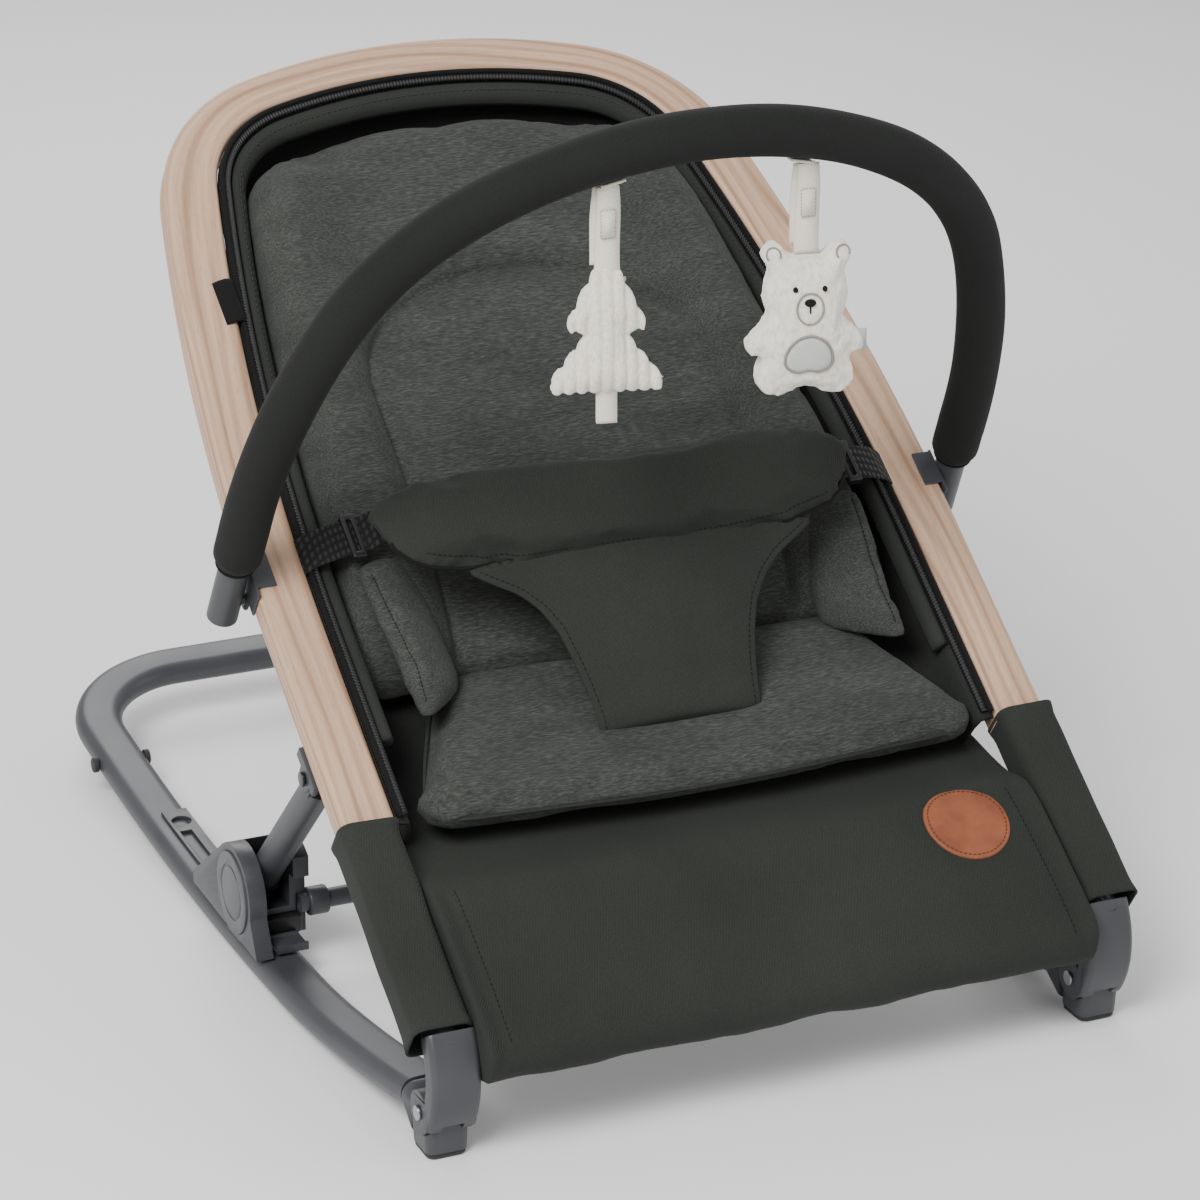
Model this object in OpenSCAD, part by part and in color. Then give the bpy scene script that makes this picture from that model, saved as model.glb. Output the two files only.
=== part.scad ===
// Bouncer seat for a baby: rocking base tube, folding seat frame with a wood trim, padded sling,
// lap belt and a toy bar with two soft toys.  Millimetres, +Z up, +X to the sitter's left.
// Points are worked out with y = 0 under the front feet; at_centre() then moves the whole model so
// that its origin is the middle of its footprint, on the floor.

/* [Base] */
// Distance from the middle of the seat to the straight part of each runner
run_x = 221; // [215:1:226]
// How much closer to the middle the front end of each runner is
run_toe = 12; // [8:1:14]
// Rocking radius of the underside of the runners
run_r = 2300; // [2000:50:2600]
// Where the runners touch the floor, behind the front feet
run_y = 300; // [290:1:310]
// Width of the flat oval base tube
tube_w = 32; // [31:0.5:33]
// Height of the flat oval base tube
tube_h = 17; // [16:0.5:17]
// Wall of the base tube
tube_wall = 1.6; // [1.2:0.1:2]
// Plan radius of the two rear corners
corner_r = 75; // [65:1:85]
// Centre line of the rear bar
rear_y = 664; // [655:1:668]

/* [Seat frame] */
// Recline of the seat plane from the floor
seat_angle = 35.4; // [35:0.1:36]
// Where the wood trim starts, behind the front feet
seat_y = 98; // [97:0.5:99]
// Height of the wood trim's lower end
seat_z = 158.4; // [158:0.2:159]
// Length of the wood trim along the seat plane
trim_len = 578; // [574:1:580]
// Thickness of the wood trim
trim_t = 20; // [18:0.5:20]
// Diameter of the steel tube inside the wood trim
rail_d = 13; // [12:0.5:14]
// Height of the front pivots of the seat frame
pivot_z = 27; // [26:0.5:28]

/* [Struts and hubs] */
// Diameter of the two struts
strut_d = 20; // [18:0.5:20]
// Middle of each strut and its slot in the hub
strut_x = 217; // [216:0.5:218]
// Hub pivot, behind the front feet
hub_y = 286; // [285:0.5:287]
// Height of the hub pivot
hub_z = 47; // [46:0.5:48]
// Diameter of the rod between the hubs
rod_d = 12; // [10:0.5:12]

/* [Toy bar] */
// Middle of each foot of the toy bar
bar_x = 241; // [240:0.5:242]
// Swing axis of the toy bar, behind the front feet
bar_y = 261.4; // [260:0.2:263]
// Height of the toy bar's swing axis
bar_z = 245.1; // [244:0.2:246]
// Forward lean of the toy bar
bar_lean = 27.5; // [25:0.5:30]
// Diameter of the padded cover on the toy bar
pad_d = 30; // [28:0.5:30]
// Diameter of the toy bar's tube
bar_d = 19; // [18:0.5:19]

/* [Hidden] */
$fn = 64;
// Middle of the whole model's length
mid_y = 322.6;
// Gap between parts that touch when they move, and between soft parts
gap = 0.5;
soft_gap = 0.8;
// Radial play of the pivot pins
play = 0.05;
pin_r = 3;
// Rocking radius of the tube's centre line, its front end, and where it turns inwards
line_r = run_r - tube_h / 2;
tube_y0 = 30;
bend_y = 190;
corner_y = rear_y - corner_r;
// Front leg: an arc that bulges forward, and its width
leg_x = 210;
leg_w = 30;
leg_t = 15;
leg_r = 54.3;
leg_c = [31.3, 51];
knuckle_r = 13;
// Wood trim: half-turn angles and radii of its outer and inner edges, from the top downwards
outer_arcs = [[403, 16.8], [118, 62], [1600, 11.2]];
inner_arcs = [[390, 15.7], [78, 62.4], [1630, 11.9]];
trim_top_w = 28;
// Toy bar: radii and angles from its top downwards, and its straight ends
bar_arcs = [[262, 28], [180, 40], [450, 19]];
bar_top = 337;
cover_low = 31;
// Upper strut joint, along the seat plane and under it
strut_v = 58;
strut_h = -30;
// Hub: cap centre, and radii of the hub and its cap
cap_y = 273;
cap_z = 49;
cap_r = 26;
hub_r = 31;
rod_y = 260;
rod_z = 40;
// Kickstand hinge
stand_y = 553;

charcoal = [0.21, 0.22, 0.23];
dark_grey = [0.27, 0.27, 0.29];
fabric_dark = [0.16, 0.17, 0.16];
fabric_melange = [0.24, 0.25, 0.23];
wood_c = [0.80, 0.66, 0.53];
black = [0.05, 0.05, 0.05];
steel_c = [0.55, 0.55, 0.57];
cream = [0.90, 0.87, 0.80];
leather_c = [0.47, 0.22, 0.11];

// ---- placing ----
module at_centre() { translate([0, -mid_y, 0]) children(); }
module side(s) { if (s > 0) children(); else mirror([1, 0, 0]) children(); }
module both() { children(); mirror([1, 0, 0]) children(); }
// Seat plane: x across, y up the back, z square to the plane
module on_seat() { at_centre() translate([0, seat_y, seat_z]) rotate([seat_angle, 0, 0]) children(); }
// Toy bar plane: x across, y up the bar, z square to it
module on_bar() { at_centre() translate([0, bar_y, bar_z]) rotate([90 + bar_lean, 0, 0]) children(); }
// A disc or bar across, along x from a to b
module along_x(a, b, r) { translate([a, 0, 0]) rotate([0, 90, 0]) cylinder(h = b - a, r = r); }
// Side view shapes: their x is the model's y, their y the model's z; thickness from x = a to b
module side_view(a, b) {
    translate([a, 0, 0]) rotate([90, 0, 90]) linear_extrude(b - a) children();
}
function floor_to_tube(y) = run_r - sqrt(pow(run_r, 2) - pow(y - run_y, 2));
function seat_point(v, h) = [seat_y + v * cos(seat_angle) - h * sin(seat_angle),
    seat_z + v * sin(seat_angle) + h * cos(seat_angle)];

// ---- outlines ----
// Points down one side of an arch made of tangent arcs, from its top middle at [0, top]
function arc_start(arcs, i) = i == 0 ? 0 : arc_start(arcs, i - 1) + arcs[i - 1][1];
function arc_from(arcs, i, top) = i == 0 ? [0, top] : let (r = arcs[i - 1][0],
    a0 = arc_start(arcs, i - 1), a1 = arc_start(arcs, i), p = arc_from(arcs, i - 1, top))
    [p[0] + r * (sin(a1) - sin(a0)), p[1] - r * (cos(a0) - cos(a1))];
function arch_half(arcs, top, low, step) = concat([for (i = [0 : len(arcs) - 1])
    let (r = arcs[i][0], a0 = arc_start(arcs, i), p = arc_from(arcs, i, top), n = ceil(arcs[i][1] / step))
    for (k = [0 : n - 1]) let (a = a0 + arcs[i][1] * k / n)
    [p[0] + r * (sin(a) - sin(a0)), p[1] - r * (cos(a0) - cos(a))]],
    [arc_from(arcs, len(arcs), top), [arc_from(arcs, len(arcs), top)[0], low]]);
function turned(pts) = [for (i = [len(pts) - 1 : -1 : 1]) [-pts[i][0], pts[i][1]]];
module arch_shape(arcs, top, low, inset = 0) {
    half = arch_half([for (a = arcs) [a[0] - inset, a[1]]], top - inset, low, 4);
    polygon(concat(turned(half), half));
}
module outer_shape(low, inset = 0) { arch_shape(outer_arcs, trim_len, low, inset); }
module inner_shape(low, inset = 0) { arch_shape(inner_arcs, trim_len - trim_top_w, low, inset); }
module rounded(w, h, r) {
    for (x = [-1, 1], y = [-1, 1]) translate([x * (w / 2 - r), y * (h / 2 - r)]) circle(r);
    square([w - 2 * r, h], center = true);
    square([w, h - 2 * r], center = true);
}
module oval(w, h) {
    square([w - h, h], center = true);
    for (x = [-1, 1]) translate([x * (w - h) / 2, 0]) circle(h / 2);
}
// Middle line of a tube bent along such an arch, end to end; run is the length of its straight ends
function arch_path(arcs, top, run) = let (half = arch_half(arcs, top, 0, 7), n = len(half),
    lean = 90 - arc_start(arcs, len(arcs)), e = half[n - 2],
    right = concat([for (i = [0 : n - 2]) half[i]], [[e[0] + run * sin(lean), e[1] - run * cos(lean)]]))
    concat(turned(right), right);
function unit(v) = v / norm(v);
// Triangles between the rings of a sweep of m rings with n points each
function skin_faces(m, n) = [for (i = [0 : m - 2], j = [0 : n - 1], half = [0, 1])
    let (k = (j + 1) % n, a = i * n, b = a + n) half == 0 ? [a + j, a + k, b + k] : [a + j, b + k, b + j]];
module bent_bar(path, r, sides = 14) {
    m = len(path);
    ahead = [for (i = [0 : m - 1]) unit(path[min(i + 1, m - 1)] - path[max(i - 1, 0)])];
    points = [for (i = [0 : m - 1], j = [0 : sides - 1]) let (a = 360 * j / sides)
        [path[i][0] + ahead[i][1] * r * cos(a), path[i][1] - ahead[i][0] * r * cos(a), r * sin(a)]];
    faces = concat([[for (j = [sides - 1 : -1 : 0]) j]], [[for (j = [0 : sides - 1]) (m - 1) * sides + j]],
        skin_faces(m, sides));
    polyhedron(points, faces);
}
function longer(path, by) = let (m = len(path)) concat([path[0] + by * unit(path[0] - path[1])],
    path, [path[m - 1] + by * unit(path[m - 1] - path[m - 2])]);
module bent_tube(path, d, wall) {
    difference() {
        bent_bar(path, d / 2);
        bent_bar(longer(path, 2), d / 2 - wall);
    }
}

// ---- base ----
// A point given in plan and height over the tube's centre line, bent onto the rocking curve
function rocker(x, y, h) = let (a = asin((y - run_y) / line_r))
    [x, run_y + (line_r - h) * sin(a), run_r - (line_r - h) * cos(a)];
function front_x(y) = run_x - run_toe * pow((bend_y - y) / (bend_y - tube_y0), 1.5);
front_rows = 10;
mid_rows = 9;
corner_rows = 9;
// Plan points and headings of the right half of the base tube, front to rear
base_half = concat(
    [for (i = [0 : front_rows - 1]) let (y = tube_y0 + (bend_y - tube_y0) * i / front_rows)
        [front_x(y), y, atan((front_x(y + 1) - front_x(y)))]],
    [for (i = [0 : mid_rows - 1]) [run_x, bend_y + (corner_y - bend_y) * i / mid_rows, 0]],
    [for (i = [0 : corner_rows]) let (a = 90 * i / corner_rows)
        [run_x - corner_r * (1 - cos(a)), corner_y + corner_r * sin(a), -a]]);
function base_path(over) = let (start = base_half[0], half = over == 0 ? base_half :
    concat([[start[0] - over * tan(start[2]), start[1] - over, start[2]]], base_half))
    concat(half, [for (i = [len(half) - 1 : -1 : 0]) [-half[i][0], half[i][1], -180 - half[i][2]]]);
ring_steps = 7;
function oval_ring(w, h) = [for (s = [1, -1], i = [0 : ring_steps - 1])
    let (a = -90 * s + 180 * s * i / (ring_steps - 1), a2 = s > 0 ? a : 180 - a)
    [s * (w - h) / 2 + s * cos(a) * h / 2, sin(a) * h / 2]];
module base_sweep(w, h, over = 0) {
    ring = oval_ring(w, h);
    n = len(ring);
    path = base_path(over);
    m = len(path);
    points = [for (p = path, q = ring)
        rocker(p[0] + q[0] * cos(p[2]), p[1] - q[0] * sin(p[2]), q[1])];
    faces = concat([[for (j = [n - 1 : -1 : 0]) j]], [[for (j = [0 : n - 1]) (m - 1) * n + j]],
        skin_faces(m, n));
    polyhedron(points, faces);
}
// Things that ride along the runner: turned to the tube's slope at y, with z = 0 on its centre line
module on_runner(y) {
    a = asin((y - run_y) / line_r);
    translate([run_x, run_y, run_r]) rotate([a, 0, 0]) translate([0, 0, -line_r]) children();
}
module base_tube() {
    color(charcoal) at_centre() difference() {
        base_sweep(tube_w, tube_h);
        base_sweep(tube_w - 2 * tube_wall, tube_h - 2 * tube_wall - 0.02, 3);
        both() on_runner(stand_y) {
            along_x(-tube_w, tube_w, pin_r + play);
            translate([-9.5, -28, -tube_h]) cube([19, 38, tube_h - 2]);
        }
    }
}
// Plastic end of a runner with the foot under it and a tongue for the leg's pivot
module front_foot(s) {
    end = rocker(run_x - run_toe, tube_y0, 0);
    color(dark_grey) at_centre() side(s) difference() {
        union() {
            hull() {
                translate([end[0], tube_y0 - 3.2, end[2]]) rotate([90, 0, 0])
                    linear_extrude(2, $fn = 32) oval(tube_w, tube_h);
                translate([leg_x, 16, 18]) rotate([90, 0, 0]) linear_extrude(2) rounded(28, 22, 4, $fn = 24);
            }
            hull() {
                translate([leg_x + 1, 3.5, 3]) linear_extrude(2) rounded(25, 26, 5, $fn = 24);
                translate([leg_x + 1, 3.5, 24]) linear_extrude(2) rounded(27, 29, 6, $fn = 24);
            }
            translate([0, 0, pivot_z]) along_x(leg_x - 6, leg_x + 6, 10);
            translate([leg_x - 6, -6, 8]) cube([12, 24, pivot_z - 8]);
            translate([end[0], tube_y0 - 4, end[2]]) rotate([-90 + asin((tube_y0 - run_y) / line_r) / 2, 0, 0])
                linear_extrude(11) oval(tube_w - 2 * tube_wall - 4, tube_h - 2 * tube_wall - 3);
        }
        translate([0, 0, pivot_z]) {
            along_x(leg_x - 30, leg_x - 6, knuckle_r + gap);
            along_x(leg_x + 6, leg_x + 30, knuckle_r + gap);
            along_x(leg_x - 30, leg_x + 30, pin_r + play);
        }
    }
}
module front_foot_right() { front_foot(1); }
module front_foot_left() { front_foot(-1); }
module foot_pads() {
    color(black) at_centre() both() translate([leg_x + 1, 3.5, 0]) linear_extrude(3) rounded(24, 25, 5);
}
module front_pins() {
    color(steel_c) at_centre() both() translate([0, 0, pivot_z]) {
        along_x(leg_x - 15, leg_x + 15, pin_r);
        along_x(leg_x - 17, leg_x - 15.2, 4.5);
        along_x(leg_x + 15.2, leg_x + 17, 4.5);
    }
}
// Screws that hold the plastic ends in the tube, on its inner face
module tube_screws() {
    x = front_x(60) - tube_w / 2;
    color(black) at_centre() both() translate([0, 60, rocker(x, 60, 0)[2]]) along_x(x - 2.8, x - 0.6, 4.5);
}
// Guide on the runner with a lock hole at its rear end and a slot
module track_plate(s) {
    y0 = 352;
    y1 = 458;
    a0 = asin((y0 - run_y) / line_r);
    a1 = asin((y1 - run_y) / line_r);
    r = run_r - tube_h;
    color(dark_grey) at_centre() side(s) difference() {
        translate([run_x - 5, run_y, run_r]) rotate([0, 90, 0]) rotate([0, 0, a0]) rotate_extrude(angle = a1 - a0, $fn = 256)
            translate([r - 1.2, 0]) square([2.2, 17], center = true);
        translate([run_x - 5, 441, 10]) cylinder(h = 20, r = 6.5);
        translate([run_x - 7, 375, 10]) cube([8, 52, 20]);
    }
}
module track_plate_right() { track_plate(1); }
module track_plate_left() { track_plate(-1); }
// Rear stand that folds down out of the underside of the runner
module kickstand(s) {
    reach = floor_to_tube(stand_y) + tube_h / 2;
    color(black) at_centre() side(s) on_runner(stand_y) {
        along_x(-tube_w / 2 - 0.3, tube_w / 2 + 0.3, pin_r);
        for (x = [-1, 1]) along_x(x * (tube_w / 2 + 2) - 1.7, x * (tube_w / 2 + 2) + 1.7, 5);
        along_x(-8.5, 8.5, 5.4);
        translate([-8.5, -reach + 1.5, -6]) cube([17, reach - 1, 7]);
    }
}
module kickstand_right() { kickstand(1); }
module kickstand_left() { kickstand(-1); }

// ---- seat frame ----
rail_arcs = [for (i = [0 : 2]) [(outer_arcs[i][0] + inner_arcs[i][0]) / 2, (outer_arcs[i][1] + inner_arcs[i][1]) / 2]];
rail_top = trim_len - trim_top_w / 2;
rail_h = -12;
rail_low = -122;
module wood_trim() {
    color(wood_c) on_seat() difference() {
        translate([0, 0, -trim_t]) linear_extrude(trim_t) difference() {
            outer_shape(0);
            inner_shape(-20);
        }
        translate([0, 0, -trim_t - 1]) linear_extrude(trim_t - 3) difference() {
            outer_shape(-1, 5);
            inner_shape(-20, -5);
        }
    }
}
module seat_tube() {
    e = arc_from(rail_arcs, 3, rail_top);
    color(charcoal) on_seat() translate([0, 0, rail_h])
        bent_tube(arch_path(rail_arcs, rail_top, e[1] - rail_low), rail_d, 1.5);
}
// Plastic leg: an arc that bulges forward, a socket for the seat tube and a forked knuckle
module front_leg(s) {
    color(dark_grey) at_centre() side(s) difference() {
        union() {
            translate([leg_x, leg_c[0], leg_c[1]]) rotate([0, 90, 0]) rotate([0, 0, -124])
                rotate_extrude(angle = 71, $fn = 128) translate([leg_r - leg_t / 2, 0]) rounded(leg_t, leg_w, 4, $fn = 32);
            translate([0, 0, pivot_z]) along_x(leg_x - leg_w / 2, leg_x + leg_w / 2, knuckle_r);
            translate([0, seat_y, seat_z]) rotate([seat_angle, 0, 0])
                translate([leg_x + 2, rail_low + 12, rail_h + 1]) rotate([90, 0, 0]) cylinder(h = 32, r = 10.5);
        }
        translate([0, 0, pivot_z]) {
            along_x(leg_x - 30, leg_x + 30, pin_r + play);
            along_x(leg_x - 6 - gap, leg_x + 6 + gap, knuckle_r + 1.5);
        }
        translate([leg_x - 6 - gap, -40, 0]) cube([12 + 2 * gap, 60, pivot_z - 4]);
        translate([0, seat_y, seat_z]) rotate([seat_angle, 0, 0])
            translate([arc_from(rail_arcs, 3, rail_top)[0], 20, rail_h]) rotate([90, 0, 0])
            cylinder(h = 20 - rail_low, r = rail_d / 2 + play);
    }
}
module front_leg_right() { front_leg(1); }
module front_leg_left() { front_leg(-1); }
// Tube across the front of the frame, in the hem of the front panel
hem_v = -148;
hem_h = -10;
module lower_cross_tube() {
    color(charcoal) on_seat() translate([0, hem_v, hem_h]) difference() {
        along_x(-leg_x + leg_w / 2 + gap, leg_x - leg_w / 2 - gap, 8);
        along_x(-leg_x, leg_x, 6.6);
    }
}
// Clevis under the trim for the top of a strut
module strut_bracket(s) {
    color(dark_grey) on_seat() side(s) difference() {
        union() {
            for (x = [strut_x - 13.2, strut_x + 10.2]) translate([x, strut_v, 0]) {
                translate([0, 0, strut_h]) along_x(0, 3, 8);
                translate([0, -14, strut_h + 2]) cube([3, 30, -trim_t - strut_h - 2.2]);
            }
            translate([strut_x - 13.2, strut_v - 14, -trim_t - 2.2]) cube([26.4, 30, 2]);
        }
        translate([0, strut_v, strut_h]) along_x(strut_x - 20, strut_x + 20, pin_r + play);
    }
}
module strut_bracket_right() { strut_bracket(1); }
module strut_bracket_left() { strut_bracket(-1); }
module upper_pins() {
    color(steel_c) on_seat() both() translate([0, strut_v, strut_h]) {
        along_x(strut_x - 14.5, strut_x + 14.5, pin_r);
        for (x = [-15.4, 13.6]) along_x(strut_x + x, strut_x + x + 1.8, 4.5);
    }
}
// Plate on the outer face of the trim with the boss that the toy bar turns on
bar_v = (bar_y - seat_y) * cos(seat_angle) + (bar_z - seat_z) * sin(seat_angle);
bar_h = -(bar_y - seat_y) * sin(seat_angle) + (bar_z - seat_z) * cos(seat_angle);
trim_side_x = 228.6;
module bar_bracket(s) {
    color(charcoal) on_seat() side(s) {
        translate([trim_side_x + 0.1, bar_v - 16, -trim_t + 1]) cube([1.4, 31, trim_t + 0.8]);
        translate([trim_side_x - 12, bar_v - 10, 0.3]) cube([13.4, 24, 1.5]);
        translate([0, bar_v, bar_h]) along_x(trim_side_x + 0.1, bar_x - bar_d / 2 + 4, pin_r);
        translate([0, bar_v, bar_h]) along_x(trim_side_x + 0.1, trim_side_x + 1.5, 7);
    }
}
module bar_bracket_right() { bar_bracket(1); }
module bar_bracket_left() { bar_bracket(-1); }

// ---- fabric ----
// Sling and its lining: a shallow tray hung inside the trim
module sling() {
    color(fabric_dark) on_seat() difference() {
        union() {
            translate([0, 0, -30]) linear_extrude(26) inner_shape(40, soft_gap);
            translate([0, 0, -56]) linear_extrude(27) inner_shape(40, 9);
        }
        translate([0, 0, -52]) linear_extrude(60) inner_shape(36, 13);
        translate([-184, 30, -60]) cube([368, 11, 70]);
    }
}
module front_panel() {
    color(fabric_dark) on_seat() difference() {
        union() {
            translate([0, hem_v, hem_h]) along_x(-194, 194, 17);
            side_view(-194, 194) polygon([[-146, 6.9], [-48, 3], [-27, -15], [39.5, -48.3], [39.5, -52.3], [-31, -18.5],
                [-52, -1.5], [-138, 2]]);
        }
        translate([0, hem_v, hem_h]) along_x(-200, 200, 9);
    }
}
// Cuff over the lower end of the frame, open at both ends
module sleeve(s) {
    color(fabric_dark) on_seat() side(s) difference() {
        translate([214, 0, -9]) rotate([90, 0, 0]) linear_extrude(131) rounded(36, 30, 6);
        translate([214, 1, -9]) rotate([90, 0, 0]) linear_extrude(142) rounded(31, 26, 5);
    }
}
module sleeve_right() { sleeve(1); }
module sleeve_left() { sleeve(-1); }
module back_cushion() {
    color(fabric_melange) on_seat() intersection() {
        translate([0, 0, -34]) linear_extrude(40) inner_shape(0, 17);
        side_view(-200, 200) polygon([[118, -34], [118, -26], [150, 6], [502, 6], [502, -34]]);
    }
}
pad_tilt = -16;
module seat_cushion() {
    color(fabric_melange) on_seat() translate([0, -14, 8]) rotate([pad_tilt, 0, 0])
        translate([0, 0, -22]) linear_extrude(22) hull() {
            for (x = [-1, 1]) {
                translate([x * 160, 28]) circle(22, $fn = 32);
                translate([x * 120, 115]) circle(20, $fn = 32);
            }
            translate([0, 8]) circle(8, $fn = 32);
        }
}
module side_wing(s) {
    color(fabric_melange) on_seat() side(s) translate([0, 0, 7]) linear_extrude(20) hull() {
        translate([152, 76]) circle(10, $fn = 32);
        translate([160, 158]) circle(10, $fn = 32);
        translate([126, 158]) circle(10, $fn = 32);
    }
}
module side_wing_right() { side_wing(1); }
module side_wing_left() { side_wing(-1); }
module lap_belt() {
    color(fabric_dark) on_seat() side_view(-150, 150)
        polygon([[146, 29], [205, 52], [211, 60], [204, 64], [140, 38]]);
}
module crotch_strap() {
    color(fabric_dark) on_seat() side_view(-45, 45)
        polygon([[139, 34], [60, 2], [40, -2.6], [42, 2], [62, 9], [136, 40.5]]);
}
module belt_webbing() {
    color(black) on_seat() both() translate([170.2, 179, 14.6]) rotate([0, 20, 0]) cube([25, 25, 1.6]);
}
module buckle(s) {
    color(black) on_seat() side(s) translate([160.5, 176, 9]) difference() {
        cube([9, 31, 6]);
        translate([3, 4, -1]) cube([3, 23, 8]);
    }
}
module buckle_right() { buckle(1); }
module buckle_left() { buckle(-1); }
module zipper() {
    color(black) on_seat() translate([0, 0, -3.6]) linear_extrude(3) difference() {
        inner_shape(52, 2);
        inner_shape(40, 9);
    }
}
module leather_patch() {
    color(leather_c) on_seat() translate([143, -68, 4.6]) rotate([-2.2, 0, 0]) cylinder(h = 1.6, r = 27);
}
module side_label() {
    color(black) on_seat() translate([-184, 366, 1]) cube([10, 34, 1]);
}

// ---- struts ----
strut_top = seat_point(strut_v, strut_h);
strut_len = norm([hub_y, hub_z] - strut_top);
strut_fall = atan2(strut_top[1] - hub_z, hub_y - strut_top[0]);
// Along the strut: z = 0 at its top pivot, growing towards the hub
module on_strut() {
    at_centre() translate([strut_x, strut_top[0], strut_top[1]]) rotate([-90 - strut_fall, 0, 0]) children();
}
module strut(s) {
    color(charcoal) side(s) on_strut() translate([0, 0, 16]) difference() {
        cylinder(h = strut_len - 32, r = strut_d / 2);
        translate([0, 0, -1]) cylinder(h = strut_len, r = strut_d / 2 - 1.5);
    }
}
module strut_right() { strut(1); }
module strut_left() { strut(-1); }
// Plastic eyes in both ends of a strut
module strut_eye(s) {
    color(dark_grey) side(s) on_strut() difference() {
        for (end = [0, 1]) translate([0, 0, end * strut_len]) rotate([end * 180, 0, 0]) {
            along_x(-9.6, 9.6, 7.5);
            translate([-9, -6, 0]) cube([18, 12, 15.8]);
            translate([0, 0, 15.8]) cylinder(h = 22, r = strut_d / 2 - 1.6);
            translate([0, 0, 13.8]) cylinder(h = 2.1, r = strut_d / 2);
        }
        along_x(-20, 20, pin_r + play);
        translate([0, 0, strut_len]) along_x(-20, 20, pin_r + play);
    }
}
module strut_eye_right() { strut_eye(1); }
module strut_eye_left() { strut_eye(-1); }

// ---- hubs ----
hub_in = 196;
hub_out = 239;
slot_in = strut_x - strut_d / 2 - 0.8;
slot_out = strut_x + strut_d / 2 + 0.8;
hub_floor = 19.6;
module hub_side() {
    translate([cap_y, cap_z]) circle(hub_r);
    polygon([[cap_y - 30, cap_z - 6], [232, hub_floor], [350, hub_floor + 3.6], [350, 31], [cap_y + 20, cap_z + 23.5]]);
}
module hub_housing(s) {
    color(dark_grey) at_centre() side(s) difference() {
        side_view(hub_in, hub_out) hub_side();
        translate([0, 0, -60 + hub_floor]) cube([300, 400, 60]);
        // Slot that the strut turns in, open to the front and the top
        side_view(slot_in, slot_out) {
            translate([hub_y, hub_z]) circle(13);
            polygon([[hub_y + 2, hub_z - 12], [262, 38.5], [220, 43], [220, 110], [264, 110], [hub_y + 9, hub_z + 9]]);
        }
        // The inner half is set back over the release button
        translate([hub_in - 1, 220, 0]) cube([slot_out - hub_in + 1, 42, 60]);
        translate([hub_in - 1, 220, 0]) cube([slot_in - hub_in + 1.01, 34, 110]);
        translate([0, hub_y, hub_z]) along_x(hub_in - 5, hub_out - 3, pin_r + play);
        // Channel over the track plate
        translate([run_x - 15, 200, 0]) cube([20, 200, 22.4]);
        // Seat of the cap
        translate([0, cap_y, cap_z]) along_x(hub_out - 1.5, hub_out + 5, cap_r + 0.3);
        // Pocket of the release button
        translate([199.5, 261, 21.5]) cube([26, 14, 13]);
        translate([0, rod_y, rod_z]) along_x(hub_in - 1, hub_in + 6, rod_d / 2 + play);
    }
}
module hub_housing_right() { hub_housing(1); }
module hub_housing_left() { hub_housing(-1); }
module hub_cap(s) {
    color(charcoal) at_centre() side(s) translate([0, cap_y, cap_z]) difference() {
        along_x(hub_out - 1.4, hub_out + 1.2, cap_r);
        difference() {
            along_x(hub_out + 0.6, hub_out + 2, cap_r - 8);
            along_x(hub_out, hub_out + 2, cap_r - 9.5);
        }
    }
}
module hub_cap_right() { hub_cap(1); }
module hub_cap_left() { hub_cap(-1); }
module hub_pins() {
    color(steel_c) at_centre() both() translate([0, hub_y, hub_z]) along_x(hub_in - 1, hub_out - 3.5, pin_r);
}
module cross_rod() {
    color(charcoal) at_centre() translate([0, rod_y, rod_z]) difference() {
        along_x(-hub_in - 5, hub_in + 5, rod_d / 2);
        along_x(-hub_in - 6, hub_in + 6, rod_d / 2 - 1.5);
    }
}
module rod_collars() {
    color(dark_grey) at_centre() both() translate([0, rod_y, rod_z]) difference() {
        along_x(hub_in - 13, hub_in - 0.2, 9);
        along_x(hub_in - 20, hub_in + 1, rod_d / 2 + play);
    }
}
module release_button(s) {
    color(black) at_centre() side(s) translate([200, 256.5, 22]) cube([25, 13, 12]);
}
module release_button_right() { release_button(1); }
module release_button_left() { release_button(-1); }
// Flap in front of the hub that keeps the seat from folding by itself
lever_y = 254;
lever_z = 22.4;
module lock_lever(s) {
    color(dark_grey) at_centre() side(s) translate([0, lever_y, lever_z]) {
        along_x(204, slot_out - 0.3, 2.2);
        translate([204, -19, -2.2]) cube([20, 19, 3]);
        translate([204, -19, -2.2]) cube([20, 2, 5]);
    }
}
module lock_lever_right() { lock_lever(1); }
module lock_lever_left() { lock_lever(-1); }

// ---- toy bar ----
bar_end = arc_from(bar_arcs, 3, bar_top);
bar_splay = 90 - arc_start(bar_arcs, 3);
// Ends of the steel tube, from inside the cover down past the swing axis
module toy_bar_tube() {
    color(charcoal) on_bar() both() difference() {
        translate([bar_end[0], bar_end[1], 0]) rotate([90, 0, 0]) rotate([0, bar_splay, 0])
            translate([0, 0, bar_end[1] - cover_low + 0.3]) difference() {
            cylinder(h = cover_low + 12, r = bar_d / 2);
            translate([0, 0, -1]) cylinder(h = cover_low + 14, r = bar_d / 2 - 1.5);
        }
        along_x(bar_x - 12, bar_x, pin_r + play);
    }
}
// Padded cover, which stands for the tube inside it as well
module toy_bar_cover() {
    color(fabric_dark) on_bar() bent_bar(arch_path(bar_arcs, bar_top, bar_end[1] - cover_low), pad_d / 2);
}

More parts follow.
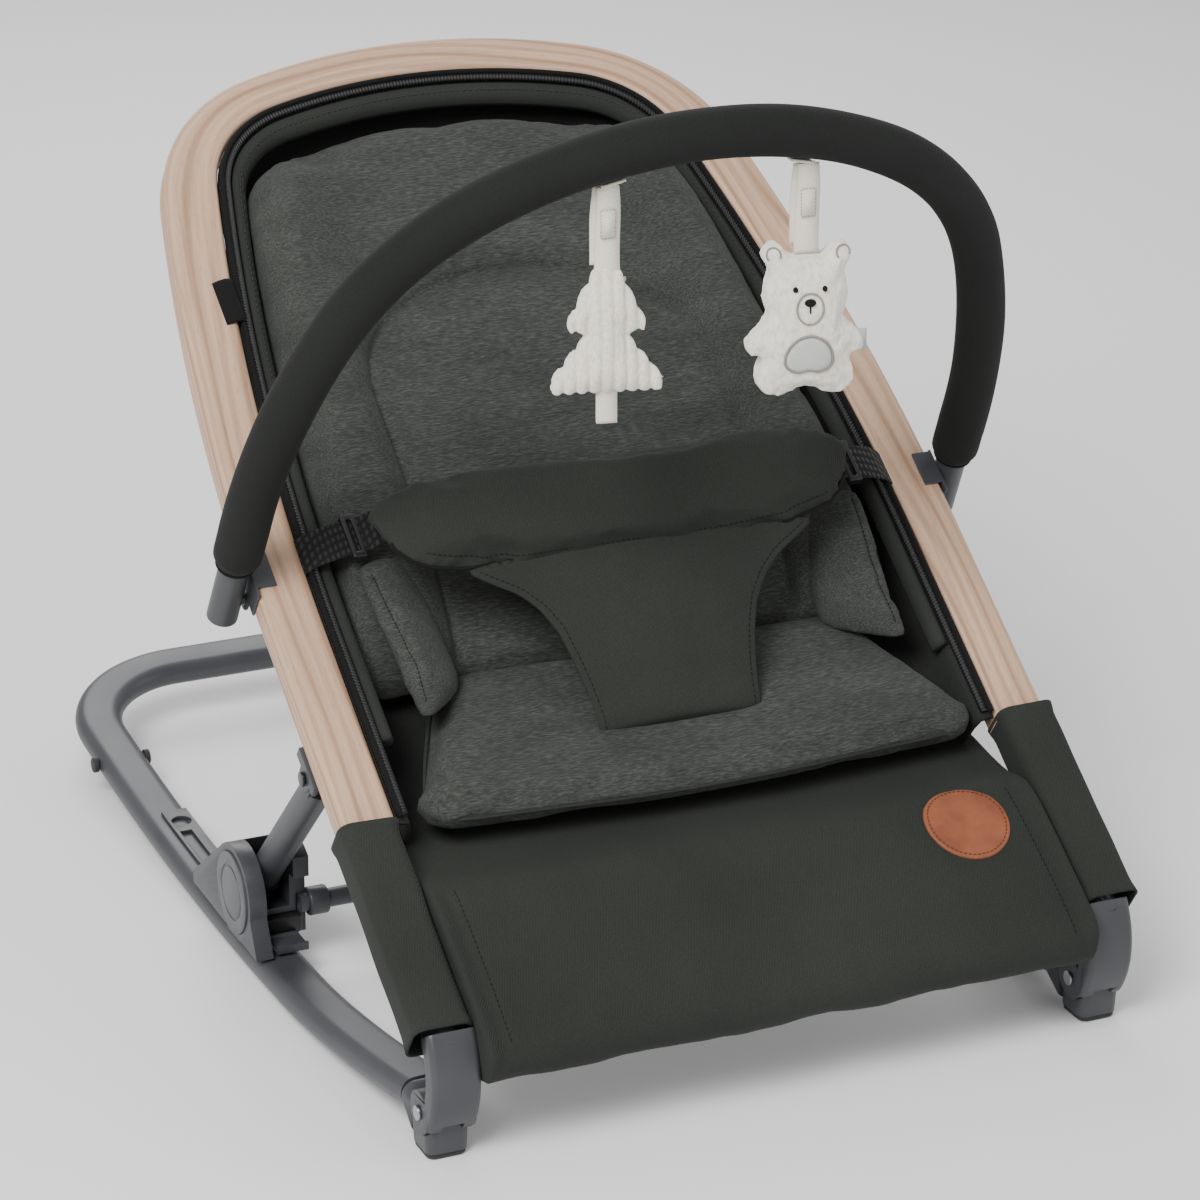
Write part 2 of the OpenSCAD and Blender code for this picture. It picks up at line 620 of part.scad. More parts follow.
// ---- toys ----
// Where a toy hangs on the bar at x, and the toy's own frame: x across, z up, turned to face forward
function bar_drop(x) = bar_arcs[0][0] - sqrt(pow(bar_arcs[0][0], 2) - pow(x, 2));
function bar_point(x) = let (u = bar_top - bar_drop(x))
    [x, bar_y - u * sin(bar_lean), bar_z + u * cos(bar_lean)];
tree_x = -61;
bear_x = 64;
toy_turn = -14;
module on_toy(x) { at_centre() translate(bar_point(x)) rotate([0, 0, toy_turn]) children(); }
// Loop round the padded bar with a flat strap down to the toy
module toy_strap(x, drop) {
    tilt = asin(x / bar_arcs[0][0]);
    color(cream) difference() {
        union() {
            on_bar() translate([x, bar_top - bar_drop(x), 0]) rotate([0, 0, -tilt]) along_x(-7.5, 7.5, pad_d / 2 + 2.6);
            at_centre() translate(bar_point(x)) translate([-7.5, -3, -drop]) cube([15, 3, drop]);
        }
        on_bar() translate([x, bar_top - bar_drop(x), 0]) rotate([0, 0, -tilt]) along_x(-25, 25, pad_d / 2 + 1);
        at_centre() translate(bar_point(x)) translate([-20, -20, -8]) cube([40, 40, 40]);
    }
}
module tree_strap() { toy_strap(tree_x, 64.6); }
module tree_toy() {
    color(cream) on_toy(tree_x) translate([0, 9, -64.9]) rotate([90, 0, 0]) linear_extrude(16) {
        polygon([[-9, 0], [9, 0], [24, -34], [12, -36], [34, -75], [6, -75], [6, -92], [-6, -92], [-6, -75],
            [-34, -75], [-12, -36], [-24, -34]]);
    }
}
module bear_strap() { toy_strap(bear_x, 64); }
module bear_toy() {
    color(cream) on_toy(bear_x) translate([0, 0, -64.3]) {
        translate([0, 0, -27]) sphere(r = 25);
        translate([0, 0, -66]) sphere(r = 27);
        for (x = [-1, 1]) translate([x * 19, 0, -8.4]) sphere(r = 8);
    }
}
module bear_tag() {
    color(fabric_melange) on_toy(bear_x) translate([27.4, -1, -131]) cube([9, 1.5, 14]);
}

base_tube();
front_foot_right();
front_foot_left();
foot_pads();
front_pins();
tube_screws();
track_plate_right();
track_plate_left();
kickstand_right();
kickstand_left();
wood_trim();
seat_tube();
front_leg_right();
front_leg_left();
lower_cross_tube();
strut_bracket_right();
strut_bracket_left();
upper_pins();
bar_bracket_right();
bar_bracket_left();
sling();
front_panel();
sleeve_right();
sleeve_left();
back_cushion();
seat_cushion();
side_wing_right();
side_wing_left();
lap_belt();
crotch_strap();
belt_webbing();
buckle_right();
buckle_left();
zipper();
leather_patch();
side_label();
strut_right();
strut_left();
strut_eye_right();
strut_eye_left();
hub_housing_right();
hub_housing_left();
hub_cap_right();
hub_cap_left();
hub_pins();
cross_rod();
rod_collars();
release_button_right();
release_button_left();
lock_lever_right();
lock_lever_left();
toy_bar_tube();
toy_bar_cover();
tree_strap();
tree_toy();
bear_strap();
bear_toy();
bear_tag();
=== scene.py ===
"""Bouncer seat: smooth tubes, wood trim, padded melange inlay, woven sling, belt and two soft toys."""

import math

import bmesh
import bpy
import numpy as np
from mathutils import Matrix, Vector, noise
from mathutils.bvhtree import BVHTree


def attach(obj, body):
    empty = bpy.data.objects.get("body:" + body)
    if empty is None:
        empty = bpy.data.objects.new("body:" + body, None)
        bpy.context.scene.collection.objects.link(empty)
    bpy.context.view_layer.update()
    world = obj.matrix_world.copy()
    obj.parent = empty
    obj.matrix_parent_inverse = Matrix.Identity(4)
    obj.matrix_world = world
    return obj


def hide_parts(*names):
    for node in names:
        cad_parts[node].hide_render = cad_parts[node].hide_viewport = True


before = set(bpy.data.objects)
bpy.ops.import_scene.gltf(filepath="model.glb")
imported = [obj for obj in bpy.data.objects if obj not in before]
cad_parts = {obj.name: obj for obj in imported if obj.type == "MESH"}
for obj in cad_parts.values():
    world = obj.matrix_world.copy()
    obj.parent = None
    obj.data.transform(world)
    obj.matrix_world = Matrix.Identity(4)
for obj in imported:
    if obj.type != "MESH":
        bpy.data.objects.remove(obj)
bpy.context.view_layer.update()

MM = 0.001
MID_Y = 322.6
SEAT_Y, SEAT_Z, SEAT_ANGLE = 98.0, 158.4, math.radians(35.4)
BAR_Y, BAR_Z, BAR_LEAN = 261.4, 245.1, math.radians(27.5)
OUTER_ARCS = [(403, 16.8), (118, 62), (1600, 11.2)]
INNER_ARCS = [(390, 15.7), (78, 62.4), (1630, 11.9)]
BAR_ARCS = [(262, 28), (180, 40), (450, 19)]
TRIM_TOP, INNER_TOP, BAR_TOP = 578, 550, 337
VIEW_TURN, VIEW_RISE = math.radians(-23.918), math.radians(21.344)
CAMERA_X, CAMERA_Y, CAMERA_Z, LENS_MM, SENSOR_MM = -1005.87, -2012.29, 1179.43, 129.28, 36


# ---- camera, light and floor ----
def set_camera():
    azimuth, elevation = VIEW_TURN, VIEW_RISE
    back = Vector((math.sin(azimuth) * math.cos(elevation), -math.cos(azimuth) * math.cos(elevation),
                   math.sin(elevation)))
    data = bpy.data.cameras.new("camera")
    data.lens = LENS_MM
    data.sensor_width = SENSOR_MM
    camera = bpy.data.objects.new("camera", data)
    camera.location = Vector((CAMERA_X, CAMERA_Y - MID_Y, CAMERA_Z)) * MM
    camera.rotation_euler = back.to_track_quat("Z", "Y").to_euler()
    bpy.context.scene.collection.objects.link(camera)
    bpy.context.scene.camera = camera


def area_light(name, place, target, size, watts, tint=(1, 1, 1)):
    data = bpy.data.lights.new(name, "AREA")
    data.energy = watts
    data.size = size
    data.color = tint
    lamp = bpy.data.objects.new(name, data)
    lamp.location = place
    lamp.rotation_euler = (Vector(target) - Vector(place)).to_track_quat("-Z", "Y").to_euler()
    bpy.context.scene.collection.objects.link(lamp)


def set_stage():
    world = bpy.data.worlds.new("studio")
    bpy.context.scene.world = world
    world.use_nodes = True
    world.node_tree.nodes["Background"].inputs["Color"].default_value = (1, 1, 1, 1)
    world.node_tree.nodes["Background"].inputs["Strength"].default_value = 0.62
    area_light("key", (-1.6, -1.4, 2.2), (0, 0, 0.25), 1.3, 95)
    area_light("fill", (2.2, -1.2, 1.3), (0, 0, 0.2), 1.8, 14)
    area_light("rim", (0.4, 2.2, 1.8), (0, 0, 0.3), 1.4, 30)
    bpy.ops.mesh.primitive_plane_add(size=14, location=(0, 0, -0.0006))
    floor = bpy.context.object
    floor.name = "floor"
    floor.data.materials.append(new_material("floor_paint", (0.86, 0.86, 0.86), 0.7)[0])


# ---- materials ----
def new_material(name, color, rough, metallic=0.0, sheen=0.0):
    material = bpy.data.materials.new(name)
    material.use_nodes = True
    tree = material.node_tree
    shader = tree.nodes["Principled BSDF"]
    shader.inputs["Base Color"].default_value = (*color, 1)
    shader.inputs["Roughness"].default_value = rough
    shader.inputs["Metallic"].default_value = metallic
    if sheen:
        shader.inputs["Sheen Weight"].default_value = sheen
        shader.inputs["Sheen Roughness"].default_value = 0.5
        shader.inputs["Specular IOR Level"].default_value = 0.18
    return material, tree, shader


def coords(tree, scale, turn=(0, 0, 0), kind="Object"):
    source = tree.nodes.new("ShaderNodeTexCoord")
    mapping = tree.nodes.new("ShaderNodeMapping")
    mapping.inputs["Scale"].default_value = scale
    mapping.inputs["Rotation"].default_value = turn
    tree.links.new(source.outputs[kind], mapping.inputs["Vector"])
    return mapping.outputs["Vector"]


def noise_of(tree, vector, scale=1.0, detail=3.0, rough=0.5, distortion=0.0):
    tex = tree.nodes.new("ShaderNodeTexNoise")
    tex.inputs["Scale"].default_value = scale
    tex.inputs["Detail"].default_value = detail
    tex.inputs["Roughness"].default_value = rough
    tex.inputs["Distortion"].default_value = distortion
    tree.links.new(vector, tex.inputs["Vector"])
    return tex.outputs["Fac"]


def wave_of(tree, vector, scale, distortion=0.0, direction="X", profile="SIN", detail=2.0):
    tex = tree.nodes.new("ShaderNodeTexWave")
    tex.bands_direction = direction
    tex.wave_profile = profile
    tex.inputs["Scale"].default_value = scale
    tex.inputs["Distortion"].default_value = distortion
    tex.inputs["Detail"].default_value = detail
    tree.links.new(vector, tex.inputs["Vector"])
    return tex.outputs["Fac"]


def ramp(tree, fac, stops):
    node = tree.nodes.new("ShaderNodeValToRGB")
    elements = node.color_ramp.elements
    while len(elements) < len(stops):
        elements.new(0.5)
    for element, (place, color) in zip(elements, stops):
        element.position = place
        element.color = (*color, 1)
    tree.links.new(fac, node.inputs["Fac"])
    return node.outputs["Color"]


def mixed(tree, a, b, fac, mode="MIX"):
    node = tree.nodes.new("ShaderNodeMix")
    node.data_type = "RGBA"
    node.blend_type = mode
    for socket, value in (("A", a), ("B", b)):
        target = [s for s in node.inputs if s.name == socket and s.type == "RGBA"][0]
        if isinstance(value, tuple):
            target.default_value = (*value, 1)
        else:
            tree.links.new(value, target)
    factor = [s for s in node.inputs if s.name == "Factor" and s.type == "VALUE"][0]
    if isinstance(fac, float):
        factor.default_value = fac
    else:
        tree.links.new(fac, factor)
    return [s for s in node.outputs if s.type == "RGBA"][0]


def maths(tree, operation, a, b):
    node = tree.nodes.new("ShaderNodeMath")
    node.operation = operation
    for socket, value in zip(node.inputs, (a, b)):
        if isinstance(value, (int, float)):
            socket.default_value = value
        else:
            tree.links.new(value, socket)
    return node.outputs[0]


def spread(tree, fac, low, high):
    node = tree.nodes.new("ShaderNodeMapRange")
    node.inputs["To Min"].default_value = low
    node.inputs["To Max"].default_value = high
    tree.links.new(fac, node.inputs["Value"])
    return node.outputs["Result"]


def bump(tree, shader, height, strength, depth):
    node = tree.nodes.new("ShaderNodeBump")
    node.inputs["Strength"].default_value = strength
    node.inputs["Distance"].default_value = depth
    tree.links.new(height, node.inputs["Height"])
    tree.links.new(node.outputs["Normal"], shader.inputs["Normal"])


def melange_material():
    """Heathered knit: fine light and dark yarn running across the seat."""
    material, tree, shader = new_material("melange_knit", (0.03, 0.032, 0.029), 0.95, sheen=0.03)
    streaks = noise_of(tree, coords(tree, (190, 1150, 1150)), detail=4, rough=0.6)
    yarn = ramp(tree, streaks, [(0.3, (0.024, 0.0265, 0.0235)), (0.5, (0.042, 0.046, 0.041)),
                                (0.72, (0.078, 0.084, 0.076))])
    patches = noise_of(tree, coords(tree, (14, 40, 40)), detail=3)
    tone = ramp(tree, patches, [(0.3, (0.82, 0.82, 0.82)), (0.7, (1.12, 1.12, 1.12))])
    tree.links.new(mixed(tree, yarn, tone, 1.0, "MULTIPLY"), shader.inputs["Base Color"])
    knit = noise_of(tree, coords(tree, (500, 1500, 1500)), detail=2)
    bump(tree, shader, maths(tree, "ADD", knit, streaks), 0.45, 0.0005)
    return material


def woven_material(name, color, lighter, cell=0.0011, sheen=0.05, rough=0.88):
    """Plain dark cloth with a fine diagonal weave."""
    material, tree, shader = new_material(name, color, rough, sheen=sheen)
    twill = wave_of(tree, coords(tree, (1, 1, 1), (0.6, 0, 0.78)), 0.32 / cell, 1.5)
    fine = noise_of(tree, coords(tree, (900, 900, 900)), detail=2)
    soft = noise_of(tree, coords(tree, (9, 9, 9)), detail=4)
    weave = maths(tree, "MULTIPLY", twill, fine)
    base = ramp(tree, weave, [(0.1, color), (0.6, lighter)])
    tone = ramp(tree, soft, [(0.3, (0.86, 0.86, 0.86)), (0.7, (1.12, 1.12, 1.12))])
    tree.links.new(mixed(tree, base, tone, 1.0, "MULTIPLY"), shader.inputs["Base Color"])
    bump(tree, shader, weave, 0.35, 0.0004)
    return material


def wood_material():
    """Pale wood: long wavy grain and short dark pores, along the UV map's length."""
    material, tree, shader = new_material("pale_beech", (0.64, 0.44, 0.31), 0.5)
    flow = coords(tree, (5.0, 34, 1), kind="UV")
    warp = noise_of(tree, coords(tree, (3.2, 16, 1), kind="UV"), detail=2, distortion=0.4)
    rings = tree.nodes.new("ShaderNodeTexWave")
    rings.wave_type = "BANDS"
    rings.bands_direction = "Y"
    rings.inputs["Scale"].default_value = 0.62
    rings.inputs["Distortion"].default_value = 14.0
    rings.inputs["Detail"].default_value = 2.2
    rings.inputs["Detail Scale"].default_value = 0.55
    tree.links.new(flow, rings.inputs["Vector"])
    streak = noise_of(tree, coords(tree, (7, 420, 1), kind="UV"), detail=5, rough=0.65)
    pores = noise_of(tree, coords(tree, (110, 2300, 1), kind="UV"), detail=2)
    figure = ramp(tree, rings.outputs["Fac"], [(0.0, (0.40, 0.245, 0.155)), (0.10, (0.55, 0.365, 0.25)),
                                             (0.75, (0.60, 0.41, 0.29)), (1.0, (0.49, 0.32, 0.215))])
    lines = ramp(tree, streak, [(0.3, (0.80, 0.76, 0.72)), (0.62, (1.05, 1.05, 1.05))])
    dots = ramp(tree, pores, [(0.30, (0.72, 0.66, 0.60)), (0.42, (1.0, 1.0, 1.0))])
    broad = ramp(tree, warp, [(0.3, (0.93, 0.91, 0.89)), (0.7, (1.05, 1.04, 1.03))])
    color = mixed(tree, figure, lines, 1.0, "MULTIPLY")
    color = mixed(tree, color, dots, 0.7, "MULTIPLY")
    color = mixed(tree, color, broad, 1.0, "MULTIPLY")
    tree.links.new(color, shader.inputs["Base Color"])
    tree.links.new(spread(tree, streak, 0.56, 0.42), shader.inputs["Roughness"])
    bump(tree, shader, maths(tree, "ADD", streak, pores), 0.12, 0.0003)
    return material


def painted_material(name, color, rough, grain=2200, depth=0.00012, metallic=0.0, strength=0.3):
    """Powder coat or moulded plastic: fine pebbled surface, slightly uneven tone and gloss."""
    material, tree, shader = new_material(name, color, rough, metallic)
    pebble = noise_of(tree, coords(tree, (grain, grain, grain)), detail=2)
    cloud = noise_of(tree, coords(tree, (22, 22, 22)), detail=4)
    darker = tuple(c * 0.88 for c in color)
    lighter = tuple(c * 1.16 for c in color)
    tree.links.new(ramp(tree, cloud, [(0.3, darker), (0.7, lighter)]), shader.inputs["Base Color"])
    tree.links.new(spread(tree, cloud, rough - 0.07, rough + 0.07), shader.inputs["Roughness"])
    bump(tree, shader, pebble, strength, depth)
    return material


def leather_material():
    material, tree, shader = new_material("tan_leather", (0.26, 0.075, 0.026), 0.55)
    cells = tree.nodes.new("ShaderNodeTexVoronoi")
    cells.inputs["Scale"].default_value = 1.0
    tree.links.new(coords(tree, (900, 900, 900)), cells.inputs["Vector"])
    cloud = noise_of(tree, coords(tree, (60, 60, 60)), detail=4)
    tree.links.new(ramp(tree, cloud, [(0.3, (0.175, 0.046, 0.016)), (0.7, (0.27, 0.080, 0.030))]),
                   shader.inputs["Base Color"])
    bump(tree, shader, cells.outputs["Distance"], 0.35, 0.0004)
    return material


def plush_material(name, color, darker, scale=420.0, depth=0.0012):
    """Short pile: clumped fibres, darker in the hollows between clumps as painted shade and lighter on their tips as
    a painted highlight.
    """
    material, tree, shader = new_material(name, color, 0.95, sheen=0.5)
    clumps = noise_of(tree, coords(tree, (scale, scale, scale * 0.5)), detail=4, rough=0.65, distortion=0.5)
    # painted shade and highlight: the colour follows the bump's clump noise, darker in the low hollows, lighter on
    # the raised tips
    tree.links.new(ramp(tree, clumps, [(0.28, darker), (0.58, color)]), shader.inputs["Base Color"])
    bump(tree, shader, clumps, 0.7, depth)
    return material


def webbing_material():
    material, tree, shader = new_material("webbing", (0.018, 0.018, 0.018), 0.85, sheen=0.1)
    rows = wave_of(tree, coords(tree, (1, 1, 1)), 95, 0.6, "X")
    cross = wave_of(tree, coords(tree, (1, 1, 1)), 70, 0.6, "Y")
    weave = maths(tree, "MULTIPLY", rows, cross)
    tree.links.new(ramp(tree, weave, [(0.1, (0.008, 0.008, 0.008)), (0.7, (0.030, 0.030, 0.030))]),
                   shader.inputs["Base Color"])
    bump(tree, shader, weave, 0.8, 0.0012)
    return material


def teeth_material():
    """Zip: fine teeth across a black tape, along the UV map's length."""
    material, tree, shader = new_material("zip_teeth", (0.012, 0.012, 0.012), 0.55)
    teeth = wave_of(tree, coords(tree, (1, 1, 1), kind="UV"), 140, 0.0, "X")
    tree.links.new(ramp(tree, teeth, [(0.2, (0.006, 0.006, 0.006)), (0.8, (0.022, 0.023, 0.022))]),
                   shader.inputs["Base Color"])
    bump(tree, shader, teeth, 0.9, 0.001)
    return material


MAT = {
    "melange": melange_material(),
    "woven": woven_material("dark_woven", (0.0175, 0.0195, 0.0165), (0.034, 0.0375, 0.0325), 0.0007, 0.02),
    "lining": woven_material("dark_lining", (0.014, 0.0155, 0.0138), (0.028, 0.031, 0.027), 0.0007, 0.02),
    "bar": woven_material("bar_cover", (0.0095, 0.0105, 0.0095), (0.019, 0.021, 0.019), 0.0007, 0.02),
    "piping": woven_material("piping", (0.004, 0.004, 0.004), (0.01, 0.01, 0.01), 0.0006, 0.02),
    "wood": wood_material(),
    "tube": painted_material("powder_coat", (0.045, 0.047, 0.053), 0.42),
    "plastic": painted_material("grey_plastic", (0.042, 0.044, 0.050), 0.42, 1500),
    "cap": painted_material("cap_plastic", (0.055, 0.057, 0.064), 0.40, 1500),
    "black": painted_material("black_plastic", (0.012, 0.012, 0.013), 0.32, 1700, 0.00006),
    "rubber": painted_material("rubber", (0.020, 0.020, 0.021), 0.7, 900),
    "steel": painted_material("steel", (0.42, 0.42, 0.44), 0.34, 1800, 0.00005, 1.0),
    "leather": leather_material(),
    "webbing": webbing_material(),
    "teeth": teeth_material(),
    "cream": plush_material("cream_cord", (0.86, 0.81, 0.71), (0.62, 0.56, 0.47), 700, 0.0006),
    "plush": plush_material("cream_plush", (0.87, 0.82, 0.74), (0.66, 0.60, 0.51)),
    "strap": woven_material("cream_strap", (0.72, 0.66, 0.56), (0.86, 0.81, 0.72), 0.0012, 0.2),
    "silver": woven_material("silver_patch", (0.48, 0.50, 0.47), (0.62, 0.64, 0.60), 0.0012, 0.2),
    "thread": woven_material("thread", (0.030, 0.032, 0.030), (0.055, 0.057, 0.054), 0.0006, 0.02),
    "dark_thread": woven_material("dark_thread", (0.006, 0.006, 0.006), (0.014, 0.014, 0.014), 0.0006, 0.02),
    "grey_thread": woven_material("grey_thread", (0.22, 0.21, 0.19), (0.36, 0.34, 0.31), 0.0006),
    "tan_thread": woven_material("tan_thread", (0.11, 0.030, 0.011), (0.18, 0.055, 0.02), 0.0006, 0.02),
}


# ---- placing ----
def place(x, y, z):
    return Vector((x, y - MID_Y, z)) * MM


def seat(u, v, h):
    """Seat plane: u across, v up the back, h square to the plane, in millimetres."""
    return place(u, SEAT_Y + v * math.cos(SEAT_ANGLE) - h * math.sin(SEAT_ANGLE),
                 SEAT_Z + v * math.sin(SEAT_ANGLE) + h * math.cos(SEAT_ANGLE))


def on_bar(u, w, n):
    """Toy bar plane: u across, w up the bar, n square to it, towards the front."""
    return place(u, BAR_Y - w * math.sin(BAR_LEAN) - n * math.cos(BAR_LEAN),
                 BAR_Z + w * math.cos(BAR_LEAN) - n * math.sin(BAR_LEAN))


def arch_side(arcs, top, low, inset=0.0, step=5.0):
    """Right side of an arch of tangent arcs, from its top middle down to the height low."""
    x, y, angle = 0.0, float(top - inset), 0.0
    points = [(x, y)]
    for radius, sweep in arcs:
        radius -= inset
        count = max(2, math.ceil(radius * math.radians(sweep) / step))
        x0, y0, a0 = x, y, math.radians(angle)
        for k in range(1, count + 1):
            a = a0 + math.radians(sweep) * k / count
            x = x0 + radius * (math.sin(a) - math.sin(a0))
            y = y0 - radius * (math.cos(a0) - math.cos(a))
            if y < low:
                break
            points.append((x, y))
        angle += sweep
        if y < low:
            break
    end = points[-1]
    count = max(1, math.ceil((end[1] - low) / step))
    for k in range(1, count + 1):
        points.append((end[0], end[1] - (end[1] - low) * k / count))
    return points


def resampled(points, count):
    """count + 1 points spaced evenly along a polyline."""
    pts = np.array(points, float)
    lengths = np.concatenate([[0], np.cumsum(np.linalg.norm(np.diff(pts, axis=0), axis=1))])
    targets = np.linspace(0, lengths[-1], count + 1)
    return np.stack([np.interp(targets, lengths, pts[:, k]) for k in range(pts.shape[1])], axis=1)


def mirrored(side):
    """Left end over the top to the right end, from one side listed top to bottom."""
    side = [tuple(p) for p in side]
    return [(-x, y) for x, y in side[::-1]] + side[1:]


# ---- mesh building ----
def finish_piece(name, mesh, body, materials, replaced=(), smooth=True):
    obj = bpy.data.objects.new(name, mesh)
    bpy.context.scene.collection.objects.link(obj)
    for material in materials if isinstance(materials, (list, tuple)) else [materials]:
        obj.data.materials.append(MAT[material])
    if smooth:
        obj.data.polygons.foreach_set("use_smooth", [True] * len(obj.data.polygons))
    if body:
        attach(obj, body)
    if replaced:
        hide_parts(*replaced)
    return obj


def ring_mesh(name, rings, closed=True, caps=True, loop=False):
    """A skin over rings of points, with a UV map of lengths in metres along and around."""
    mesh = bpy.data.meshes.new(name)
    count = len(rings[0])
    verts = [p for ring in rings for p in ring]
    along = [0.0]
    for a, b in zip(rings, rings[1:]):
        along.append(along[-1] + (sum(b, Vector()) / count - sum(a, Vector()) / count).length)
    around = [0.0]
    middle = rings[len(rings) // 2]
    for j in range(count):
        around.append(around[-1] + (middle[(j + 1) % count] - middle[j]).length)
    faces, uvs = [], []
    for i in range(len(rings) - (0 if loop else 1)):
        i2 = (i + 1) % len(rings)
        for j in range(count if closed else count - 1):
            k = (j + 1) % count
            faces.append((i * count + j, i * count + k, i2 * count + k, i2 * count + j))
            u0, u1 = along[i], along[i + 1] if i + 1 < len(along) else along[i] + 0.005
            uvs += [(u0, around[j]), (u0, around[j + 1]), (u1, around[j + 1]), (u1, around[j])]
    if caps and closed and not loop:
        faces.append(tuple(range(count - 1, -1, -1)))
        faces.append(tuple((len(rings) - 1) * count + j for j in range(count)))
        uvs += [(along[0], around[j]) for j in range(count - 1, -1, -1)]
        uvs += [(along[-1], around[j]) for j in range(count)]
    mesh.from_pydata(verts, [], faces)
    layer = mesh.uv_layers.new(name="lengths")
    layer.data.foreach_set("uv", [c for uv in uvs for c in uv])
    fix_normals(mesh)
    return mesh


def fix_normals(mesh):
    bm = bmesh.new()
    bm.from_mesh(mesh)
    bmesh.ops.recalc_face_normals(bm, faces=bm.faces)
    bm.to_mesh(mesh)
    bm.free()
    mesh.update()


def tube_rings(path, radius, sides=16, side_dir=None):
    """Rings round a 3-D path. radius may be a number or a function of 0..1 along the path."""
    rings = []
    total = len(path) - 1
    normal = None
    for i, p in enumerate(path):
        ahead = (path[min(i + 1, total)] - path[max(i - 1, 0)]).normalized()
        if normal is None:
            normal = side_dir or (Vector((1, 0, 0)) if abs(ahead.x) < 0.9 else Vector((0, 0, 1)))
        normal = (normal - ahead * normal.dot(ahead)).normalized()
        other = ahead.cross(normal)
        r = radius(i / total) if callable(radius) else radius
        rings.append([p + normal * (r * math.cos(2 * math.pi * j / sides)) +
                      other * (r * math.sin(2 * math.pi * j / sides)) for j in range(sides)])
    return rings


def tube(name, path, radius, body, material, replaced=(), sides=16, side_dir=None, loop=False):
    mesh = ring_mesh(name, tube_rings(path, radius, sides, side_dir), loop=loop)
    return finish_piece(name, mesh, body, material, replaced)


def copied_node(name, node, body, material, width):
    """A CAD node with its sharp edges rounded, for moulded parts."""
    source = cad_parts[node]
    mesh = source.data.copy()
    mesh.materials.clear()
    bm = bmesh.new()
    bm.from_mesh(mesh)
    bmesh.ops.remove_doubles(bm, verts=bm.verts, dist=2e-6)
    bmesh.ops.dissolve_limit(bm, angle_limit=math.radians(1.5), verts=bm.verts, edges=bm.edges)
    bmesh.ops.recalc_face_normals(bm, faces=bm.faces)
    bm.to_mesh(mesh)
    bm.free()
    obj = finish_piece(name, mesh, None, material, smooth=True)
    bevel = obj.modifiers.new("round", "BEVEL")
    bevel.width = width
    bevel.segments = 3
    bevel.limit_method = "ANGLE"
    bevel.angle_limit = math.radians(28)
    bevel.use_clamp_overlap = True
    bevel.harden_normals = True
    apply_modifiers(obj)
    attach(obj, body)
    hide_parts(node)


def apply_modifiers(obj):
    depsgraph = bpy.context.evaluated_depsgraph_get()
    evaluated = obj.evaluated_get(depsgraph)
    mesh = bpy.data.meshes.new_from_object(evaluated, depsgraph=depsgraph)
    obj.modifiers.clear()
    obj.data = mesh


def box_mesh(bm, corner, size, matrix):
    verts = bmesh.ops.create_cube(bm, size=1.0)["verts"]
    for v in verts:
        local = Vector([corner[k] + (v.co[k] + 0.5) * size[k] for k in range(3)])
        v.co = matrix(*local)


# ---- cloth ----
def remeshed(obj, voxel):
    modifier = obj.modifiers.new("voxels", "REMESH")
    modifier.mode = "VOXEL"
    modifier.voxel_size = voxel
    modifier.use_smooth_shade = True
    apply_modifiers(obj)


def inflated(obj, cap, pressure=4.0, frames=20):
    """Blow the piece up with cloth under pressure; no point moves more than cap."""
    before = np.array([v.co for v in obj.data.vertices])
    cloth = obj.modifiers.new("cloth", "CLOTH")
    settings = cloth.settings
    settings.use_pressure = True
    settings.uniform_pressure_force = pressure
    settings.effector_weights.gravity = 0
    settings.tension_stiffness = 30
    settings.compression_stiffness = 12
    settings.bending_stiffness = 0.6
    settings.quality = 4
    cloth.collision_settings.use_collision = False
    cloth.collision_settings.use_self_collision = False
    scene = bpy.context.scene
    for number in range(1, frames + 1):
        scene.frame_set(number)
    depsgraph = bpy.context.evaluated_depsgraph_get()
    after = np.array([v.co for v in obj.evaluated_get(depsgraph).data.vertices])
    obj.modifiers.clear()
    scene.frame_set(1)
    move = after - before
    length = np.linalg.norm(move, axis=1, keepdims=True)
    move *= np.minimum(1.0, cap / np.maximum(length, 1e-9))
    obj.data.vertices.foreach_set("co", (before + move).ravel())
    obj.data.update()


def subdivided(obj, levels=1):
    modifier = obj.modifiers.new("subdivide", "SUBSURF")
    modifier.levels = levels
    modifier.render_levels = levels
    apply_modifiers(obj)


def smoothed(obj, rounds=3, factor=0.5):
    modifier = obj.modifiers.new("smooth", "SMOOTH")
    modifier.iterations = rounds
    modifier.factor = factor
    apply_modifiers(obj)


def seat_coords(points):
    """Row-frame metres to u, v, h in millimetres, for an array of points."""
    y = points[:, 1] / MM + MID_Y - SEAT_Y
    z = points[:, 2] / MM - SEAT_Z
    c, s = math.cos(SEAT_ANGLE), math.sin(SEAT_ANGLE)
    return np.stack([points[:, 0] / MM, y * c + z * s, -y * s + z * c], axis=1)


def pushed(obj, amount):
    """Move each vertex along its normal by amount(uvh array, normals) millimetres."""
    mesh = obj.data
    points = np.array([v.co for v in mesh.vertices])
    normals = np.array([v.normal for v in mesh.vertices])
    c, s = math.cos(SEAT_ANGLE), math.sin(SEAT_ANGLE)
    seat_normals = np.stack([normals[:, 0], normals[:, 1] * c + normals[:, 2] * s,
                             -normals[:, 1] * s + normals[:, 2] * c], axis=1)
    shift = amount(seat_coords(points), seat_normals) * MM
    mesh.vertices.foreach_set("co", (points + normals * shift[:, None]).ravel())
    mesh.update()


def smoothstep(low, high, x):
    t = np.clip((x - low) / (high - low), 0, 1)
    return t * t * (3 - 2 * t)


def line_distance(points, line):
    """Distance in 2-D from each point to a polyline."""
    line = np.array(line, float)
    best = np.full(len(points), 1e9)
    for a, b in zip(line, line[1:]):
        d = b - a
        t = np.clip(((points - a) @ d) / max(d @ d, 1e-9), 0, 1)
        best = np.minimum(best, np.linalg.norm(points - (a + t[:, None] * d), axis=1))
    return best


